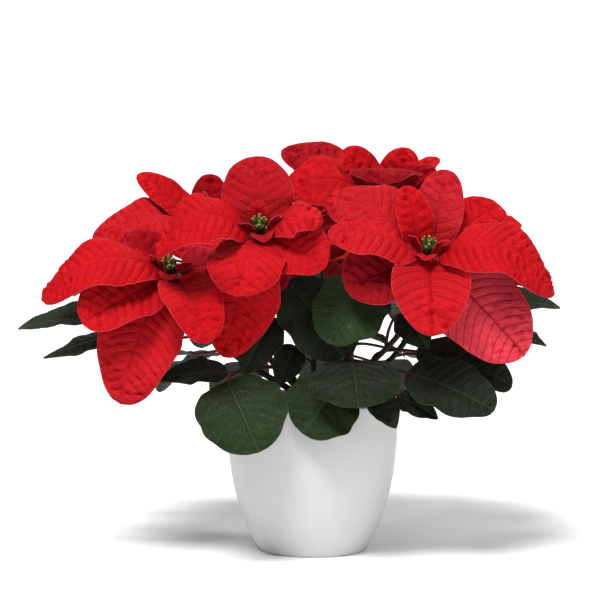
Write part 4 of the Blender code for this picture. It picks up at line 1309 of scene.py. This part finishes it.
class POINSETTIA_OT_flowers(bpy.types.Operator):
    """Set the small green cups with their glands and stamens on each head"""

    bl_idname = "poinsettia.flowers"
    bl_label = "True Flowers"

    def execute(self, context):
        sizes = settings().flower
        finishes = {
            "cups": flower_material("green_cup", sizes.cup, darker=0.45, roughness=0.4),
            "glands": flower_material("yellow_gland", sizes.gland, darker=0.7, roughness=0.3),
            "stamens": flower_material("red_stamen", sizes.stamen, darker=0.5, roughness=0.5),
        }
        for name, head in HEADS.items():
            shapes = {kind: bmesh.new() for kind in finishes}
            self.add_bed(shapes["cups"], head)
            for index in range(BUD_COUNT):
                self.add_flower(shapes, head, index)
            for kind, shape in shapes.items():
                finish_piece(f"{name}_{kind}", shape, [finishes[kind]], [f"cyathia_{name}"])
        return {"FINISHED"}

    def add_bed(self, shape, head):
        """Adds the fleshy bed that the flowers stand on."""
        low = HUB_HEIGHT / 2 + CLEARANCE
        radius = HUB_RADIUS * BED_RADIUS
        outline = [(radius * wide, low + BED_HEIGHT * high) for wide, high in BED_SECTION]
        turned(shape, outline, BED_SIDES, on_hub(head))

    def add_flower(self, shapes, head, index):
        """Adds one cup with a gland on its outer side and stamens in its mouth."""
        away, size = (BUD_SPREAD, 1.0) if index else (0.0, MIDDLE_BUD)
        radius = BUD_RADIUS * size
        tall = BUD_HEIGHT * size + BUD_STEP * (index % BUD_STEPS)
        low = HUB_HEIGHT / 2 + CLEARANCE + BED_HEIGHT / 2
        turn = Matrix.Rotation(math.tau * index / (BUD_COUNT - 1), 4, "Z")
        place = on_hub(head) @ turn @ Matrix.Translation((away, 0, low))
        outline = [(radius * wide, tall * high) for wide, high in CUP_BELLY + CUP_MOUTH]
        turned(shapes["cups"], outline, BUD_SIDES, place)
        beside = Matrix.Translation((radius * GLAND_AWAY, 0, tall * GLAND_RISE))
        gland = place @ (beside @ Matrix.Diagonal((*GLAND_SIZE, 1.0)))
        bmesh.ops.create_uvsphere(shapes["glands"], u_segments=10, v_segments=6, radius=1.0, matrix=gland)
        mouth = place @ Matrix.Translation((0, 0, tall * STAMEN_START))
        for strand in range(STAMEN_COUNT):
            turn = Matrix.Rotation(math.tau * strand / STAMEN_COUNT + index, 4, "Z")
            self.add_stamen(shapes, mouth @ (turn @ Matrix.Rotation(STAMEN_LEAN, 4, "Y")))

    def add_stamen(self, shapes, place):
        """Adds a stamen, with the yellow anther on its end."""
        bmesh.ops.create_cone(
            shapes["stamens"],
            cap_ends=True,
            segments=6,
            radius1=STAMEN_RADIUS_LOW,
            radius2=STAMEN_RADIUS_HIGH,
            depth=STAMEN_LENGTH,
            matrix=place @ Matrix.Translation((0, 0, STAMEN_LENGTH / 2)),
        )
        end = place @ Matrix.Translation((0, 0, ANTHER_HEIGHT))
        bmesh.ops.create_icosphere(shapes["glands"], subdivisions=1, radius=ANTHER_RADIUS, matrix=end)


class POINSETTIA_OT_stage(bpy.types.Operator):
    """Set up the pale floor, the soft lights and the camera"""

    bl_idname = "poinsettia.stage"
    bl_label = "Stage"

    def execute(self, context):
        values = settings().stage
        self.add_floor(values)
        self.add_light("key_light", values.key, round_angle=-24, up_angle=60, spread=24)
        self.add_light("side_light", values.side, round_angle=34, up_angle=34, spread=44)
        self.add_light("back_light", values.back, round_angle=170, up_angle=50, spread=60)
        self.add_camera(values)
        self.add_sky(context, values)
        context.scene.view_settings.view_transform = "Standard"
        return {"FINISHED"}

    def add_floor(self, values):
        """Adds a wide flat floor."""
        shape = bmesh.new()
        bmesh.ops.create_circle(shape, cap_ends=True, segments=FLOOR_SIDES, radius=FLOOR_RADIUS)
        bmesh.ops.recalc_face_normals(shape, faces=shape.faces)
        mesh = bpy.data.meshes.new("floor")
        shape.to_mesh(mesh)
        shape.free()
        mesh.materials.append(floor_material(values.floor))
        floor = bpy.data.objects.new("floor", mesh)
        bpy.context.scene.collection.objects.link(floor)

    def add_light(self, name, power, round_angle, up_angle, spread):
        """Adds a broad soft light from a direction, in degrees from the front and above the floor."""
        lamp = bpy.data.lights.new(name, "SUN")
        lamp.angle = math.radians(spread)
        lamp.energy = power
        holder = bpy.data.objects.new(name, lamp)
        turn, rise = math.radians(round_angle), math.radians(up_angle)
        way = Vector((math.sin(turn) * math.cos(rise), -math.cos(turn) * math.cos(rise), math.sin(rise)))
        holder.rotation_euler = way.to_track_quat("Z", "Y").to_euler()
        bpy.context.scene.collection.objects.link(holder)

    def add_sky(self, context, values):
        """Adds surroundings that look white and shine softly."""
        world = bpy.data.worlds.new("studio")
        world.use_nodes = True
        nodes = Nodes(world.node_tree)
        sky = world.node_tree.nodes["Background"]
        seen = nodes.add("ShaderNodeLightPath").outputs["Is Camera Ray"]
        nodes.feed(sky.inputs["Color"], (1.0, 1.0, 1.0))
        nodes.feed(sky.inputs["Strength"], nodes.ramp(seen, 0.0, 1.0, values.sky, SKY_SEEN))
        context.scene.world = world

    def add_camera(self, values):
        """Adds the camera, a little above the plant and looking slightly down on it."""
        camera = bpy.data.cameras.new("camera")
        camera.lens = values.lens
        camera.sensor_width = SENSOR_WIDTH
        holder = bpy.data.objects.new("camera", camera)
        holder.location = CAMERA_PLACE
        way = Vector(CAMERA_AIM) - holder.location
        holder.rotation_euler = way.to_track_quat("-Z", "Y").to_euler()
        bpy.context.scene.collection.objects.link(holder)
        bpy.context.scene.camera = holder


PIECE_OPERATORS = (
    POINSETTIA_OT_pot,
    POINSETTIA_OT_soil,
    POINSETTIA_OT_trunk,
    POINSETTIA_OT_branches,
    POINSETTIA_OT_leaves,
    POINSETTIA_OT_bracts,
    POINSETTIA_OT_flowers,
    POINSETTIA_OT_stage,
)


class POINSETTIA_PT_panel(bpy.types.Panel):
    """The plant's sizes, colours and operators"""

    bl_idname = "POINSETTIA_PT_panel"
    bl_label = "Poinsettia"
    bl_space_type = "VIEW_3D"
    bl_region_type = "UI"
    bl_category = "Poinsettia"

    def draw(self, context):
        values = context.scene.poinsettia
        for group in (values.bract, values.leaf, values.stem, values.flower, values.pot, values.stage):
            box = self.layout.box()
            for name in group.__annotations__:
                box.prop(group, name)
        for operator in PIECE_OPERATORS:
            self.layout.operator(operator.bl_idname)


CLASSES = (
    BractSettings,
    LeafSettings,
    StemSettings,
    FlowerSettings,
    PotSettings,
    StageSettings,
    PoinsettiaSettings,
    *PIECE_OPERATORS,
    POINSETTIA_PT_panel,
)


def register():
    for kind in CLASSES:
        bpy.utils.register_class(kind)
    bpy.types.Scene.poinsettia = PointerProperty(type=PoinsettiaSettings)


def unregister():
    del bpy.types.Scene.poinsettia
    for kind in reversed(CLASSES):
        bpy.utils.unregister_class(kind)


def main():
    register()
    for operator in PIECE_OPERATORS:
        getattr(bpy.ops.poinsettia, operator.bl_idname.split(".")[1])()


if __name__ == "__main__":
    main()
